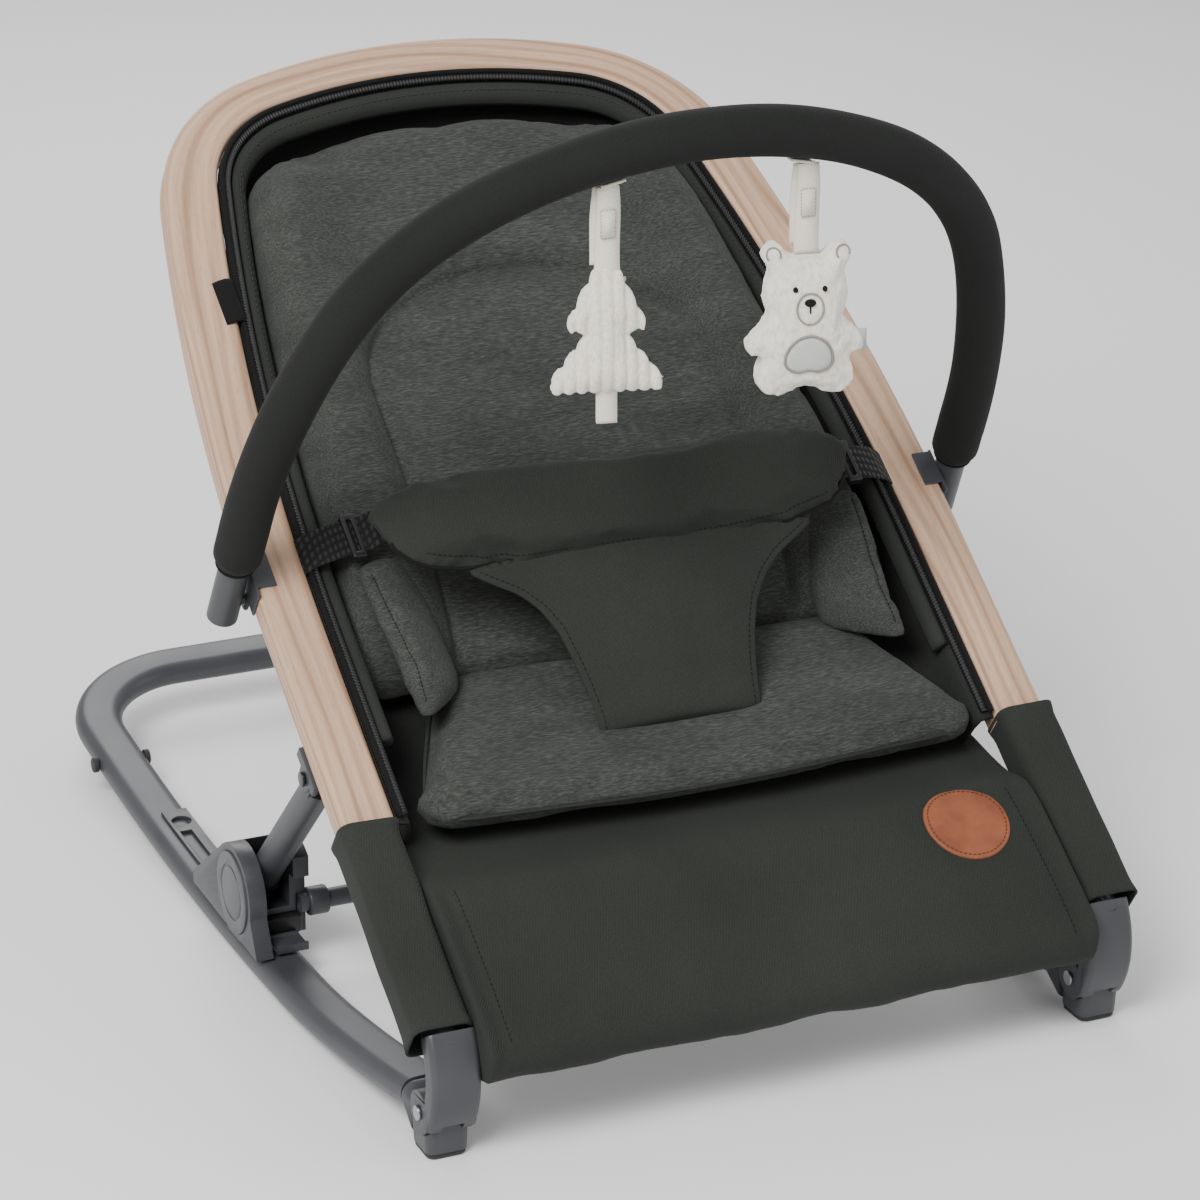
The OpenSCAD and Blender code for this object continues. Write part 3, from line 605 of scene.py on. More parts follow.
def groove(distance, width=1.6, depth=2.0):
    return -depth * np.exp(-(distance / width) ** 2)


def outline_block(name, outline, low, high, transform, body, material, replaced, voxel, cap,
                  pressure=4.0, levels=1, shape=None):
    """A pad from a closed outline: a block between two heights, remeshed, inflated, then shaped."""
    count = len(outline)
    verts = [transform(x, y, low) for x, y in outline] + [transform(x, y, high) for x, y in outline]
    faces = [tuple(range(count - 1, -1, -1)), tuple(range(count, 2 * count))]
    faces += [(i, (i + 1) % count, count + (i + 1) % count, count + i) for i in range(count)]
    mesh = bpy.data.meshes.new(name)
    mesh.from_pydata(verts, [], faces)
    fix_normals(mesh)
    obj = finish_piece(name, mesh, None, material)
    remeshed(obj, voxel)
    if shape:
        shape(obj)
    inflated(obj, cap, pressure)
    subdivided(obj, levels)
    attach(obj, body)
    if replaced:
        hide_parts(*replaced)
    return obj


set_camera()
set_stage()


# ---- base ----
RUN_X, RUN_TOE, RUN_R, RUN_Y, TUBE_W, TUBE_H = 221.0, 12.0, 2300.0, 300.0, 32.0, 17.0
LINE_R = RUN_R - TUBE_H / 2
TUBE_Y0, BEND_Y, REAR_Y, CORNER_R = 30.0, 190.0, 664.0, 75.0
STAND_Y = 553.0


def rocker(x, y, h):
    a = math.asin((y - RUN_Y) / LINE_R)
    return place(x, RUN_Y + (LINE_R - h) * math.sin(a), RUN_R - (LINE_R - h) * math.cos(a))


def front_x(y):
    return RUN_X - RUN_TOE * ((BEND_Y - y) / (BEND_Y - TUBE_Y0)) ** 1.5 if y < BEND_Y else RUN_X


def base_tube():
    side = [(front_x(y), y) for y in np.linspace(TUBE_Y0, BEND_Y, 26)[:-1]]
    side += [(RUN_X, y) for y in np.linspace(BEND_Y, REAR_Y - CORNER_R, 50)]
    side += [(RUN_X - CORNER_R * (1 - math.cos(a)), REAR_Y - CORNER_R + CORNER_R * math.sin(a))
             for a in np.radians(np.linspace(0, 90, 25)[1:])]
    side += [(x, REAR_Y) for x in np.linspace(RUN_X - CORNER_R, 0, 14)[1:]]
    path = side + [(-x, y) for x, y in side[::-1]][1:]
    rings = []
    for i, (x, y) in enumerate(path):
        (x0, y0), (x1, y1) = path[max(i - 1, 0)], path[min(i + 1, len(path) - 1)]
        across = Vector((y1 - y0, -(x1 - x0))).normalized()
        ring = []
        for s in (1, -1):
            for k in range(13):
                a = math.radians(-90 + 15 * k) * s
                q = s * ((TUBE_W - TUBE_H) / 2 + math.cos(a) * TUBE_H / 2)
                ring.append(rocker(x + across.x * q, y + across.y * q, math.sin(a) * TUBE_H / 2))
        rings.append(ring)
    obj = finish_piece("base_tube_smooth", ring_mesh("base_tube_smooth", rings), "base", "tube",
                       ("base_tube",))
    slope = math.asin((STAND_Y - RUN_Y) / LINE_R)
    for s in (-1, 1):
        bm = bmesh.new()
        turn = Matrix.Rotation(slope, 3, "X")
        box_mesh(bm, (-9.5, -28, -17), (19, 38, 15), lambda x, y, z: rocker(s * RUN_X, STAND_Y, 0) +
                 turn @ Vector((x, y, z)) * MM)
        cutter_mesh = bpy.data.meshes.new("pocket")
        bm.to_mesh(cutter_mesh)
        bm.free()
        cutter = bpy.data.objects.new("pocket", cutter_mesh)
        bpy.context.scene.collection.objects.link(cutter)
        cut = obj.modifiers.new("pocket", "BOOLEAN")
        cut.operation = "DIFFERENCE"
        cut.solver = "EXACT"
        cut.object = cutter
        apply_modifiers(obj)
        bpy.data.objects.remove(cutter)
    obj.data.polygons.foreach_set("use_smooth", [True] * len(obj.data.polygons))
    obj.data.set_sharp_from_angle(angle=math.radians(40))


def side_name(s):
    return "right" if s > 0 else "left"


def moulded_parts():
    """CAD nodes with rounded edges."""
    for s in (1, -1):
        side = side_name(s)
        table = [
            ("front_foot", "base", "grey_plastic", "plastic", 0.0016),
            ("track_plate", "base", "grey_plastic", "plastic", 0.0006),
            ("kickstand", f"stand_{side}", "foot_rubber", "rubber", 0.0010),
            ("front_leg", "seat", "grey_plastic", "plastic", 0.0016),
            ("strut_bracket", "seat", "grey_plastic", "plastic", 0.0007),
            ("bar_bracket", "seat", "dark_metal", "plastic", 0.0004),
            ("strut_eye", "struts", "grey_plastic", "plastic", 0.0010),
            ("hub_housing", "hubs", "grey_plastic", "plastic", 0.0018),
            ("hub_cap", "hubs", "grey_plastic", "cap", 0.0007),
            ("release_button", f"button_{side}", "black_plastic", "black", 0.0016),
            ("lock_lever", f"lever_{side}", "grey_plastic", "plastic", 0.0006),
            ("buckle", "seat", "black_plastic", "black", 0.0010),
        ]
        for part, body, slot, material, width in table:
            copied_node(f"{part}_{side}_moulded", f"{part}_{side}", body, material, width)
    for node, body, slot, material, width in [
            ("foot_pads", "base", "foot_rubber", "rubber", 0.0010),
            ("front_pins", "base", "pin_steel", "steel", 0.0004),
            ("tube_screws", "base", "black_plastic", "black", 0.0006),
            ("upper_pins", "seat", "pin_steel", "black", 0.0004),
            ("hub_pins", "hubs", "pin_steel", "steel", 0.0004),
            ("rod_collars", "hubs", "grey_plastic", "plastic", 0.0012)]:
        copied_node(f"{node}_moulded", node, body, material, width)


def carried_nodes():
    """CAD nodes whose shape is right: a proper material."""
    for node, material in [("seat_tube", "tube"), ("lower_cross_tube", "tube"), ("cross_rod", "tube"),
                           ("strut_right", "tube"), ("strut_left", "tube"), ("toy_bar_tube", "tube")]:
        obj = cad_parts[node]
        obj.data.materials.clear()
        obj.data.materials.append(MAT[material])


# ---- wood trim ----
def wood_trim():
    thick, r_top, r_low = 20.0, 5.0, 3.0
    outer = mirrored(resampled(arch_side(OUTER_ARCS, TRIM_TOP, 0), 150))
    inner = mirrored(resampled(arch_side(INNER_ARCS, INNER_TOP, 0), 150))
    rings = []
    for (ox, oy), (ix, iy) in zip(outer, inner):
        width = math.hypot(ox - ix, oy - iy)
        dx, dy = (ox - ix) / width, (oy - iy) / width
        profile = []
        for centre_a, centre_h, radius, start in [(r_top, -r_top, r_top, 180), (width - r_top, -r_top, r_top, 90)]:
            for k in range(7):
                a = math.radians(start - 15 * k)
                profile.append((centre_a + radius * math.cos(a), centre_h + radius * math.sin(a)))
        profile += [(width, -8.4), (width - 0.8, -8.8), (width - 0.8, -9.4), (width, -9.8)]
        for centre_a, start in [(width - r_low, 0), (r_low, -90)]:
            for k in range(5):
                a = math.radians(start - 22.5 * k)
                profile.append((centre_a + r_low * math.cos(a), -thick + r_low + r_low * math.sin(a)))
        rings.append([seat(ix + dx * a, iy + dy * a, h) for a, h in profile])
    obj = finish_piece("wood_trim_rounded", ring_mesh("wood_trim_rounded", rings), "seat", "wood",
                       ("wood_trim",))
    obj.data.set_sharp_from_angle(angle=math.radians(42))


# ---- sling, zip, edge band ----
def inner_side(low, inset, top_drop=0.0, count=90):
    side = resampled(arch_side(INNER_ARCS, INNER_TOP, low, inset), count)
    return [(x, y - top_drop * float(smoothstep(380, 505, y))) for x, y in side]


def band_rings(low, profile, count=90, lowered=0.0):
    """Rings along the trim's inner edge; profile is a list of (inset, height)."""
    outlines = [mirrored(inner_side(low, inset, lowered * k / max(len(profile) - 1, 1), count))
                for k, (inset, _) in enumerate(profile)]
    return [[seat(outline[i][0], outline[i][1], h) for outline, (_, h) in zip(outlines, profile)]
            for i in range(len(outlines[0]))]


def sling():
    outer = [(1.2, -4.2), (9, -6.5), (10, -8.5), (12, -16), (12.5, -26), (16, -36), (26, -47), (44, -52.5),
             (58, -53.2)]
    rings = band_rings(4, outer)
    count = len(rings)
    width = len(outer)
    verts = [p for ring in rings for p in ring]
    faces = [(i * width + j, i * width + j + 1, (i + 1) * width + j + 1, (i + 1) * width + j)
             for i in range(count - 1) for j in range(width - 1)]
    half = count // 2
    left = [i * width + width - 1 for i in range(half + 1)]
    right = [(count - 1 - i) * width + width - 1 for i in range(half + 1)]
    columns = 24
    grid = []
    for a, b in zip(left, right):
        row = [a]
        if a != b:
            for k in range(1, columns):
                t = k / columns
                p = verts[a].lerp(verts[b], t)
                verts.append(p)
                row.append(len(verts) - 1)
        row.append(b)
        grid.append(row)
    for low, high in zip(grid[:-2], grid[1:-1]):
        faces += [(low[k], low[k + 1], high[k + 1], high[k]) for k in range(columns)]
    tip = grid[-1][0]
    last = grid[-2]
    faces += [(last[k], last[k + 1], tip) for k in range(columns)]
    mesh = bpy.data.meshes.new("sling_cloth")
    mesh.from_pydata(verts, [], faces)
    fix_normals(mesh)
    obj = finish_piece("sling_cloth", mesh, None, "lining")
    bm = bmesh.new()
    bm.from_mesh(obj.data)
    bmesh.ops.recalc_face_normals(bm, faces=bm.faces)
    middle = max(bm.faces, key=lambda f: -abs(f.calc_center_median().x) + f.calc_center_median().y * 0.1)
    up = seat(0, 0, 1) - seat(0, 0, 0)
    if middle.normal.dot(up) < 0:
        bmesh.ops.reverse_faces(bm, faces=bm.faces)
    bm.to_mesh(obj.data)
    bm.free()
    sheet = obj.modifiers.new("thickness", "SOLIDIFY")
    sheet.thickness = 0.0026
    sheet.offset = -1
    apply_modifiers(obj)
    ripple(obj, 0.5, 22)
    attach(obj, "seat")
    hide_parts("sling")


def ripple(obj, depth, size, seed=0.0):
    """Low fabric unevenness: depth and size in millimetres."""
    for v in obj.data.vertices:
        value = noise.noise(Vector((v.co.x / MM / size + seed, v.co.y / MM / size, v.co.z / MM / size)))
        v.co += v.normal * value * depth * MM
    obj.data.update()


def edge_pieces():
    """Zip with teeth and pipings, and the stitched dark band between it and the cushion."""
    rings = band_rings(8, [(1.0, -3.2), (1.2, -1.2), (2.4, -0.2), (3.6, -1.2), (4.2, -2.4), (4.6, -1.0), (6.4, -0.6),
                           (8.0, -1.4), (8.6, -3.4)], 150)
    finish_piece("zip_strip", ring_mesh("zip_strip", rings), "seat", "teeth", ("zipper",))
    path = [seat(x, y, -0.6) for x, y in mirrored(inner_side(6, 2.6, 0, 150))]
    tube("edge_piping", path, 0.0017, "seat", "piping", sides=10)
    band = band_rings(60, [(9.2, -6), (9.6, -3.4), (12, -2.2), (15, -2.8), (17, -5.0), (18, -9), (17, -12),
                           (10, -12)], 120, 7.0)
    finish_piece("edge_band", ring_mesh("edge_band", band), "seat", "woven")
    outline = mirrored(inner_side(300, 13.4, 4, 150))
    stitches("edge_band_stitches", [seat(x, y, -1.9) for x, y in outline], "seat", "thread",
             4.2, 2.6, 0.36)


def stitches(name, path, body, material, pitch=3.2, length=2.2, radius=0.3):
    """A row of short thread stitches along a path, in millimetres."""
    spaced = np.array([list(p) for p in path])
    lengths = np.concatenate([[0], np.cumsum(np.linalg.norm(np.diff(spaced, axis=0), axis=1))])
    total = lengths[-1] / MM
    mesh = bpy.data.meshes.new(name)
    verts, faces = [], []

    def point(at):
        return Vector([float(np.interp(at * MM, lengths, spaced[:, k])) for k in range(3)])

    count = int(total / pitch)
    for i in range(count):
        a, b = point(i * pitch), point(i * pitch + length)
        ahead = (b - a).normalized()
        normal = ahead.orthogonal().normalized()
        other = ahead.cross(normal)
        start = len(verts)
        for t, size in ((0.0, 0.35), (0.25, 1.0), (0.75, 1.0), (1.0, 0.35)):
            middle = a.lerp(b, t)
            for j in range(6):
                w = math.pi * j / 3
                verts.append(middle + (normal * math.cos(w) + other * math.sin(w)) * radius * MM * size)
        for r in range(3):
            for j in range(6):
                k = (j + 1) % 6
                faces.append((start + r * 6 + j, start + r * 6 + k, start + r * 6 + 6 + k, start + r * 6 + 6 + j))
        faces.append(tuple(start + 5 - j for j in range(6)))
        faces.append(tuple(start + 18 + j for j in range(6)))
    mesh.from_pydata(verts, [], faces)
    finish_piece(name, mesh, body, material)


# ---- cushions ----
CUSHION_LOW, CUSHION_TOP = 103.0, 518.0


def cushion_half(v):
    side = arch_side(INNER_ARCS, INNER_TOP, 0, 14)
    ys = [p[1] for p in side][::-1]
    xs = [p[0] for p in side][::-1]
    return float(np.interp(v + 17 * float(smoothstep(400, 518, v)), ys, xs))


def cushion_outline():
    side = [(cushion_half(v), v) for v in np.linspace(CUSHION_TOP, CUSHION_LOW + 20, 60)]
    side = [(x, y) for x, y in side if x > 12]
    side = [(0, side[0][1])] + side
    end = side[-1]
    side += [(end[0] - 20 * (1 - math.cos(a)), end[1] - 20 * math.sin(a)) for a in np.radians(range(15, 91, 15))]
    return mirrored(side)


ARCH_SEAM = [(112, 118), (112, 300)] + [(112 * math.cos(a), 300 + 86 * math.sin(a))
                                       for a in np.radians(range(6, 91, 6))]
ARCH_LINE = ARCH_SEAM + [(-x, y) for x, y in ARCH_SEAM[::-1]][1:]


def back_shape(u, v, edge):
    """Height of the back cushion's face over the seat plane; edge is the distance to its outline."""
    centre = np.interp(v, [103, 118, 140, 170, 235, 350, 518], [-37, -31, -24, -18, -11, -6, -3])
    side = smoothstep(84, 132, np.abs(u)) * np.interp(v, [118, 170, 300, 420, 505], [4, 9, 11, 12, 8])
    inside = ((np.abs(u) < 112) & (v < 300)) | (((u / 112) ** 2 + ((v - 300) / 86) ** 2 < 1) & (v >= 300))
    to_seam = line_distance(np.stack([u, v], axis=1), ARCH_LINE)
    panel = np.where(inside, 3.5 * smoothstep(0, 26, to_seam), 5.5 * smoothstep(0, 16, to_seam))
    crown = 1 - (1 - np.clip(edge / np.interp(v, [110, 170], [9, 27]), 0, 1)) ** 2
    face = centre + side + panel
    border = np.interp(v, [103, 150, 400, 518], [-40, -24, -16, -13])
    return border + np.maximum(face - border, 2) * np.sqrt(np.maximum(crown, 0))


def back_cushion():
    outline = cushion_outline()
    closed = outline + [outline[0]]

    def shape(obj):
        mesh = obj.data
        points = np.array([v.co for v in mesh.vertices])
        uvh = seat_coords(points)
        edge = line_distance(uvh[:, :2], closed)
        top = back_shape(uvh[:, 0], uvh[:, 1], edge) - 2.0
        low = np.interp(uvh[:, 1], [103, 150, 518], [-46, -36, -33]) + 5 * (1 - np.sqrt(np.clip(edge / 16, 0, 1)))
        share = np.clip((uvh[:, 2] + 33.0) / 30.0, 0, 1)
        uvh[:, 2] = low + (np.maximum(top, low + 1.5) - low) * share
        mesh.vertices.foreach_set("co", np.array([seat(*p) for p in uvh]).ravel())
        mesh.update()

    obj = outline_block("back_cushion_pad", outline, -33, -3, seat, "seat", "melange",
                        ("back_cushion",), 0.0048, 0.006, shape=shape)
    smoothed(obj, 2, 0.4)

    def seams(uvh, normals):
        facing = smoothstep(0.1, 0.5, normals[:, 2])
        flat = uvh[:, :2]
        cut = groove(line_distance(flat, ARCH_LINE), 2.2, 3.2)
        border = line_distance(flat, closed)
        return facing * (cut + groove(border - 11, 1.2, 0.8))

    pushed(obj, seams)


PAD_V, PAD_H, PAD_TILT = -14.0, 8.0, math.radians(-16)


def pad_place(x, y, z):
    """Seat pad: x across, y back along its own slope, z square to it."""
    return seat(x + 3.0, PAD_V + y * math.cos(PAD_TILT) - z * math.sin(PAD_TILT),
                PAD_H + y * math.sin(PAD_TILT) + z * math.cos(PAD_TILT))


def pad_outline():
    """Crescent-fronted trapezium with rounded corners, front middle first."""
    side = [(0.0, 3.0)]
    side += [(x, 3.0 + 9.0 * (x / 150) ** 2) for x in range(12, 150, 12)]
    side += [(162 + 21 * math.sin(a), 34 - 21 * math.cos(a)) for a in np.radians(range(12, 100, 11))]
    side += [(124 + 18 * math.cos(a), 119 + 18 * math.sin(a)) for a in np.radians(range(25, 91, 13))]
    side += [(x, 137.0) for x in range(106, 0, -16)]
    side += [(0.0, 137.0)]
    return side[:-1] + [(-x, y) for x, y in side[:0:-1]]


def seat_pad():
    outline = pad_outline()
    closed = outline + [outline[0]]

    def shape(obj):
        mesh = obj.data
        inverse_tilt = Matrix.Rotation(-PAD_TILT, 3, "X")
        new = []
        points = []
        for v in mesh.vertices:
            u, sv, sh = seat_coords(np.array([v.co]))[0]
            local = inverse_tilt @ Vector((u - 3.0, sv - PAD_V, sh - PAD_H))
            points.append(local)
        flat = np.array([(p.x, p.y) for p in points])
        edge = line_distance(flat, closed)
        for p, d in zip(points, edge):
            crown = math.sqrt(max(0.0, 1 - (1 - min(d / float(np.interp(p.y, [80, 125], [26, 9])), 1)) ** 2))
            pressed = 3.5 * math.exp(-((p.x / 62) ** 2 + ((p.y - 70) / 60) ** 2))
            if p.z > -9:
                p.z = -7.5 + (p.z + 7.5) * (0.35 + 0.65 * crown) - pressed
            else:
                p.z = -19 + (p.z + 19) * 0.9 + 4 * (1 - crown)
            new.append(pad_place(*p))
        mesh.vertices.foreach_set("co", np.array(new).ravel())
        mesh.update()

    obj = outline_block("seat_pad", outline, -19, -2, pad_place, "seat", "melange",
                        ("seat_cushion",), 0.0046, 0.006, shape=shape)
    smoothed(obj, 2, 0.4)
    lip = [pad_place(x * 1.006, y - 0.6 if y < 60 else y, -9.5) for x, y in outline]
    tree = surface_tree(obj)
    path = [nearest(tree, p, 0.0007) for p in lip]
    for _ in range(6):
        path = [(path[i - 1] + p * 2 + path[(i + 1) % len(path)]) / 4 for i, p in enumerate(path)]
    tube("seat_pad_piping", dense(path, 4, True), 0.0012, "seat", "woven", sides=8, loop=True)


def dense(path, times, loop=False):
    """More points on a smooth curve through the given ones."""
    out = []
    n = len(path)
    for i in range(n if loop else n - 1):
        p0 = path[(i - 1) % n] if loop else path[max(i - 1, 0)]
        p1, p2 = path[i], path[(i + 1) % n]
        p3 = path[(i + 2) % n] if loop else path[min(i + 2, n - 1)]
        for k in range(times):
            t = k / times
            out.append(0.5 * ((2 * p1) + (p2 - p0) * t + (2 * p0 - 5 * p1 + 4 * p2 - p3) * t * t +
                              (3 * p1 - p0 - 3 * p2 + p3) * t ** 3))
    if not loop:
        out.append(path[-1])
    return out


def surface_tree(obj):
    verts = [v.co.copy() for v in obj.data.vertices]
    return BVHTree.FromPolygons(verts, [tuple(p.vertices) for p in obj.data.polygons])


def nearest(tree, point, out=0.0):
    hit, normal, _, _ = tree.find_nearest(point)
    return hit + normal * out


def side_wing(s):
    """Padded side flap of the inlay: free edge along the zip, lower edge deep in the seat corner."""
    free = [Vector((160, 60, 3)), Vector((169, 176, 6))]
    deep = [Vector((120, 96, -25)), Vector((126, 190, -15))]
    rings = []
    for t in (0.0, 0.02, 0.06, 0.12, 0.2, 0.3, 0.4, 0.5, 0.6, 0.7, 0.8, 0.88, 0.94, 0.98, 1.0):
        past = max(0.0, (abs(2 * t - 1) - 0.72) / 0.28)
        size = max(0.12, math.sqrt(max(0.0, 1 - past ** 2.2)))
        a, b = free[0].lerp(free[1], t), deep[0].lerp(deep[1], t)
        out = (b - a).cross(free[1] - free[0]).normalized()
        if out.z < 0:
            out = -out
        ring = []
        for w in np.radians(range(0, 360, 12)):
            c, q = math.cos(w), math.sin(w)
            along = 0.5 + 0.5 * math.copysign(abs(c) ** 0.8, c) * (0.7 + 0.3 * size)
            p = a.lerp(b, along) + out * (q * 7.5 * size + 3.0 * math.sin(math.pi * along))
            ring.append(seat(s * p.x, p.y, p.z))
        rings.append(ring)
    name = f"side_wing_{side_name(s)}_pad"
    obj = finish_piece(name, ring_mesh(name, rings), None, "melange")
    remeshed(obj, 0.0036)
    inflated(obj, 0.005, 4.0)
    subdivided(obj)
    smoothed(obj, 3, 0.5)
    tree = surface_tree(obj)
    path = []
    for t in np.linspace(0.08, 0.92, 30):
        a, b = free[0].lerp(free[1], t), deep[0].lerp(deep[1], t)
        p = a.lerp(b, 0.16)
        path.append(nearest(tree, seat(s * p.x, p.y, p.z + 12), 0.0003))

    def seam(uvh, normals):
        line = seat_coords(np.array([list(p) for p in path]))[:, :2]
        return smoothstep(0.2, 0.6, normals[:, 2]) * groove(line_distance(uvh[:, :2], line), 1.6, 1.5)

    pushed(obj, seam)
    stitches(f"side_wing_{side_name(s)}_seam", [p - (seat(0, 0, 1) - seat(0, 0, 0)) * 1.2 for p in path], "seat",
             "dark_thread", 3.0, 2.4, 0.3)
    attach(obj, "seat")
    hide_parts(f"side_wing_{side_name(s)}")


# ---- belt ----
def lap_belt():
    def belt_place(x, y, z):
        """x across, y up from the lower edge (0..62), z out of the face."""
        side, up = abs(x) / 150, y / 62
        v = (133 + 8 * side ** 2) * (1 - up) + 203 * up
        h = (28 + 9 * side ** 2) * (1 - up) + (57 - 20 * side ** 3) * up
        out = z + 7 * math.sin(math.pi * min(max(up, 0), 1)) * (1 - 0.4 * side ** 2)
        return seat(x * (0.95 + 0.16 * up) - 6, v - out * 0.42, h + out * 0.91)

    outline = []
    for a in np.radians(range(0, 360, 4)):
        c, q = math.cos(a), math.sin(a)
        outline.append((150 * math.copysign(abs(c) ** 0.34, c), 31 + 31 * math.copysign(abs(q) ** 0.55, q)))
    obj = outline_block("lap_belt_pad", outline, -6, 5, belt_place, "seat", "woven",
                        ("lap_belt",), 0.0042, 0.007, 5.0)
    smoothed(obj, 3, 0.5)
    ripple(obj, 0.9, 38, 3.0)
    tree = surface_tree(obj)
    low = [p for p in outline if p[1] < 30]
    low = sorted(low, key=lambda p: p[0])
    path = [nearest(tree, belt_place(x, y + 0.5, 1.5), 0.0004) for x, y in low]
    tube("lap_belt_piping", dense(path, 4), 0.0013, "seat", "piping", sides=8)
    seam = [nearest(tree, belt_place(x * 0.965, y + 7, 9), 0.0002) for x, y in low if abs(x) < 140]
    stitches("lap_belt_stitches", dense(seam, 3), "seat", "dark_thread", 3.4, 2.4, 0.28)


def crotch_strap():
    """T-shaped piece from the belt's lower edge down to the seat pad."""
    rows = [(0.0, 53, 40, -13), (0.07, 54, 41, -7), (0.14, 54.5, 48, -3), (0.3, 57, 65, 3), (0.5, 61, 84, 10),
            (0.68, 67, 102, 18), (0.8, 76, 116, 24), (0.88, 88, 127, 28.5), (0.95, 108, 138, 32), (1.0, 122, 148, 36)]
    ts = [r[0] for r in rows]
    columns = 33
    rings = []
    for t in np.linspace(0, 1, 34):
        half, v, h = (float(np.interp(t, ts, [r[k] for r in rows])) for k in (1, 2, 3))
        face, back = [], []
        for k in range(columns):
            a = -1 + 2 * k / (columns - 1)
            puff = (1 - a * a) ** 0.5 if abs(a) < 1 else 0
            bow = 3.5 * (1 - a * a)
            face.append(seat(a * half, v - 4 * abs(a) ** 2 * t, h + bow + 2.2 * puff))
            back.append(seat(a * half, v - 4 * abs(a) ** 2 * t, h + bow - 2.2 * puff))
        rings.append(face + back[::-1][1:-1])
    obj = finish_piece("crotch_strap_cloth", ring_mesh("crotch_strap_cloth", rings), None, "woven")
    subdivided(obj)
    ripple(obj, 0.8, 26, 7.0)
    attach(obj, "seat")
    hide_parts("crotch_strap")
    tree = surface_tree(obj)
    for s in (-1, 1):
        path = []
        for t in np.linspace(0.04, 0.97, 40):
            half, v, h = (float(np.interp(t, ts, [r[k] for r in rows])) for k in (1, 2, 3))
            path.append(nearest(tree, seat(s * (half - 4.5), v - 4 * t * 0.8, h + 6), 0.0002))
        stitches(f"crotch_strap_stitches_{side_name(s)}", path, "seat", "dark_thread", 3.4, 2.4, 0.26)


WEB_LOW, WEB_HIGH, WEB_THICK = 179.5, 203.5, 1.5


def webbing():
    """Short flat straps from the buckles out to the sling's edge."""
    bm = bmesh.new()
    for s in (-1, 1):
        rows = [(150, 21), (158, 15.5), (163, 13.2), (170, 12.4), (178, 10.6), (186, 7.8), (192, 3.5), (197, -1.5)]
        for k in range(len(rows) - 1):
            (x0, h0), (x1, h1) = rows[k], rows[k + 1]
            corners = [(x0, WEB_LOW, h0), (x1, WEB_LOW, h1), (x1, WEB_HIGH, h1), (x0, WEB_HIGH, h0)]
            top = [bm.verts.new(seat(s * x, v, h)) for x, v, h in corners]
            bottom = [bm.verts.new(seat(s * x, v, h - WEB_THICK)) for x, v, h in corners]
            bm.faces.new(top)
            bm.faces.new(bottom[::-1])
            for j in range(4):
                m = (j + 1) % 4
                bm.faces.new((top[j], bottom[j], bottom[m], top[m]))
    bmesh.ops.remove_doubles(bm, verts=bm.verts, dist=1e-6)
    bmesh.ops.recalc_face_normals(bm, faces=bm.faces)
    mesh = bpy.data.meshes.new("belt_webbing_flat")
    bm.to_mesh(mesh)
    bm.free()
    finish_piece("belt_webbing_flat", mesh, "seat", "webbing", ("belt_webbing",), smooth=False)


# ---- front panel, cuffs, patch, label ----
HEM_V, HEM_H, HEM_R = -148.0, -10.0, 17.0


def panel_profile():
    points = [(44, -52), (10, -34), (-26, -17), (-34, -8), (-44, 0.5), (-60, 4.2), (-100, 6.2), (-130, 7.0)]
    points += [(HEM_V + HEM_R * math.cos(a), HEM_H + HEM_R * math.sin(a))
               for a in np.radians(range(90, 286, 15))]
    points += [(-125, -22.5), (-100, -13), (-60, -9.5), (-38, -16), (-24, -26), (8, -41), (44, -55.4)]
    return points


def front_panel():
    profile = panel_profile()
    rings = []
    for u in np.linspace(-196.5, 196.5, 100):
        edge = 1 - min(1.0, (196.5 - abs(u)) / 16)
        rings.append([seat(u, v, h + (3.2 if h > 0 else 1.0) * edge * edge * (1 if v < -40 else 0) -
                           2.6 * math.exp(-((abs(u) - 184) / 2.6) ** 2) * (1 if h > -4 and v < -34 else 0))
                      for v, h in profile])
    obj = finish_piece("front_panel_cloth", ring_mesh("front_panel_cloth", rings), None, "woven")
    subdivided(obj)
    for vertex in obj.data.vertices:
        u, v, h = seat_coords(np.array([vertex.co]))[0]
        low = float(smoothstep(-60, -150, v)) if v > -175 else 1.0
        fold = noise.noise(Vector((u / 46, v / 90, 0.3))) * 1.6
        fold += noise.noise(Vector((u / 17, v / 60, 4.0))) * 0.7 * low
        vertex.co += vertex.normal * fold * MM * (0.5 + 0.7 * low)
    obj.data.update()
    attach(obj, "seat")
    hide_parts("front_panel")
    tree = surface_tree(obj)
    for s in (-1, 1):
        path = [nearest(tree, seat(s * 181.0, v, 14), 0.0002) for v in np.linspace(-44, -160, 60)]
        stitches(f"panel_seam_{side_name(s)}_0", path, "seat", "dark_thread", 3.6, 2.6, 0.28)


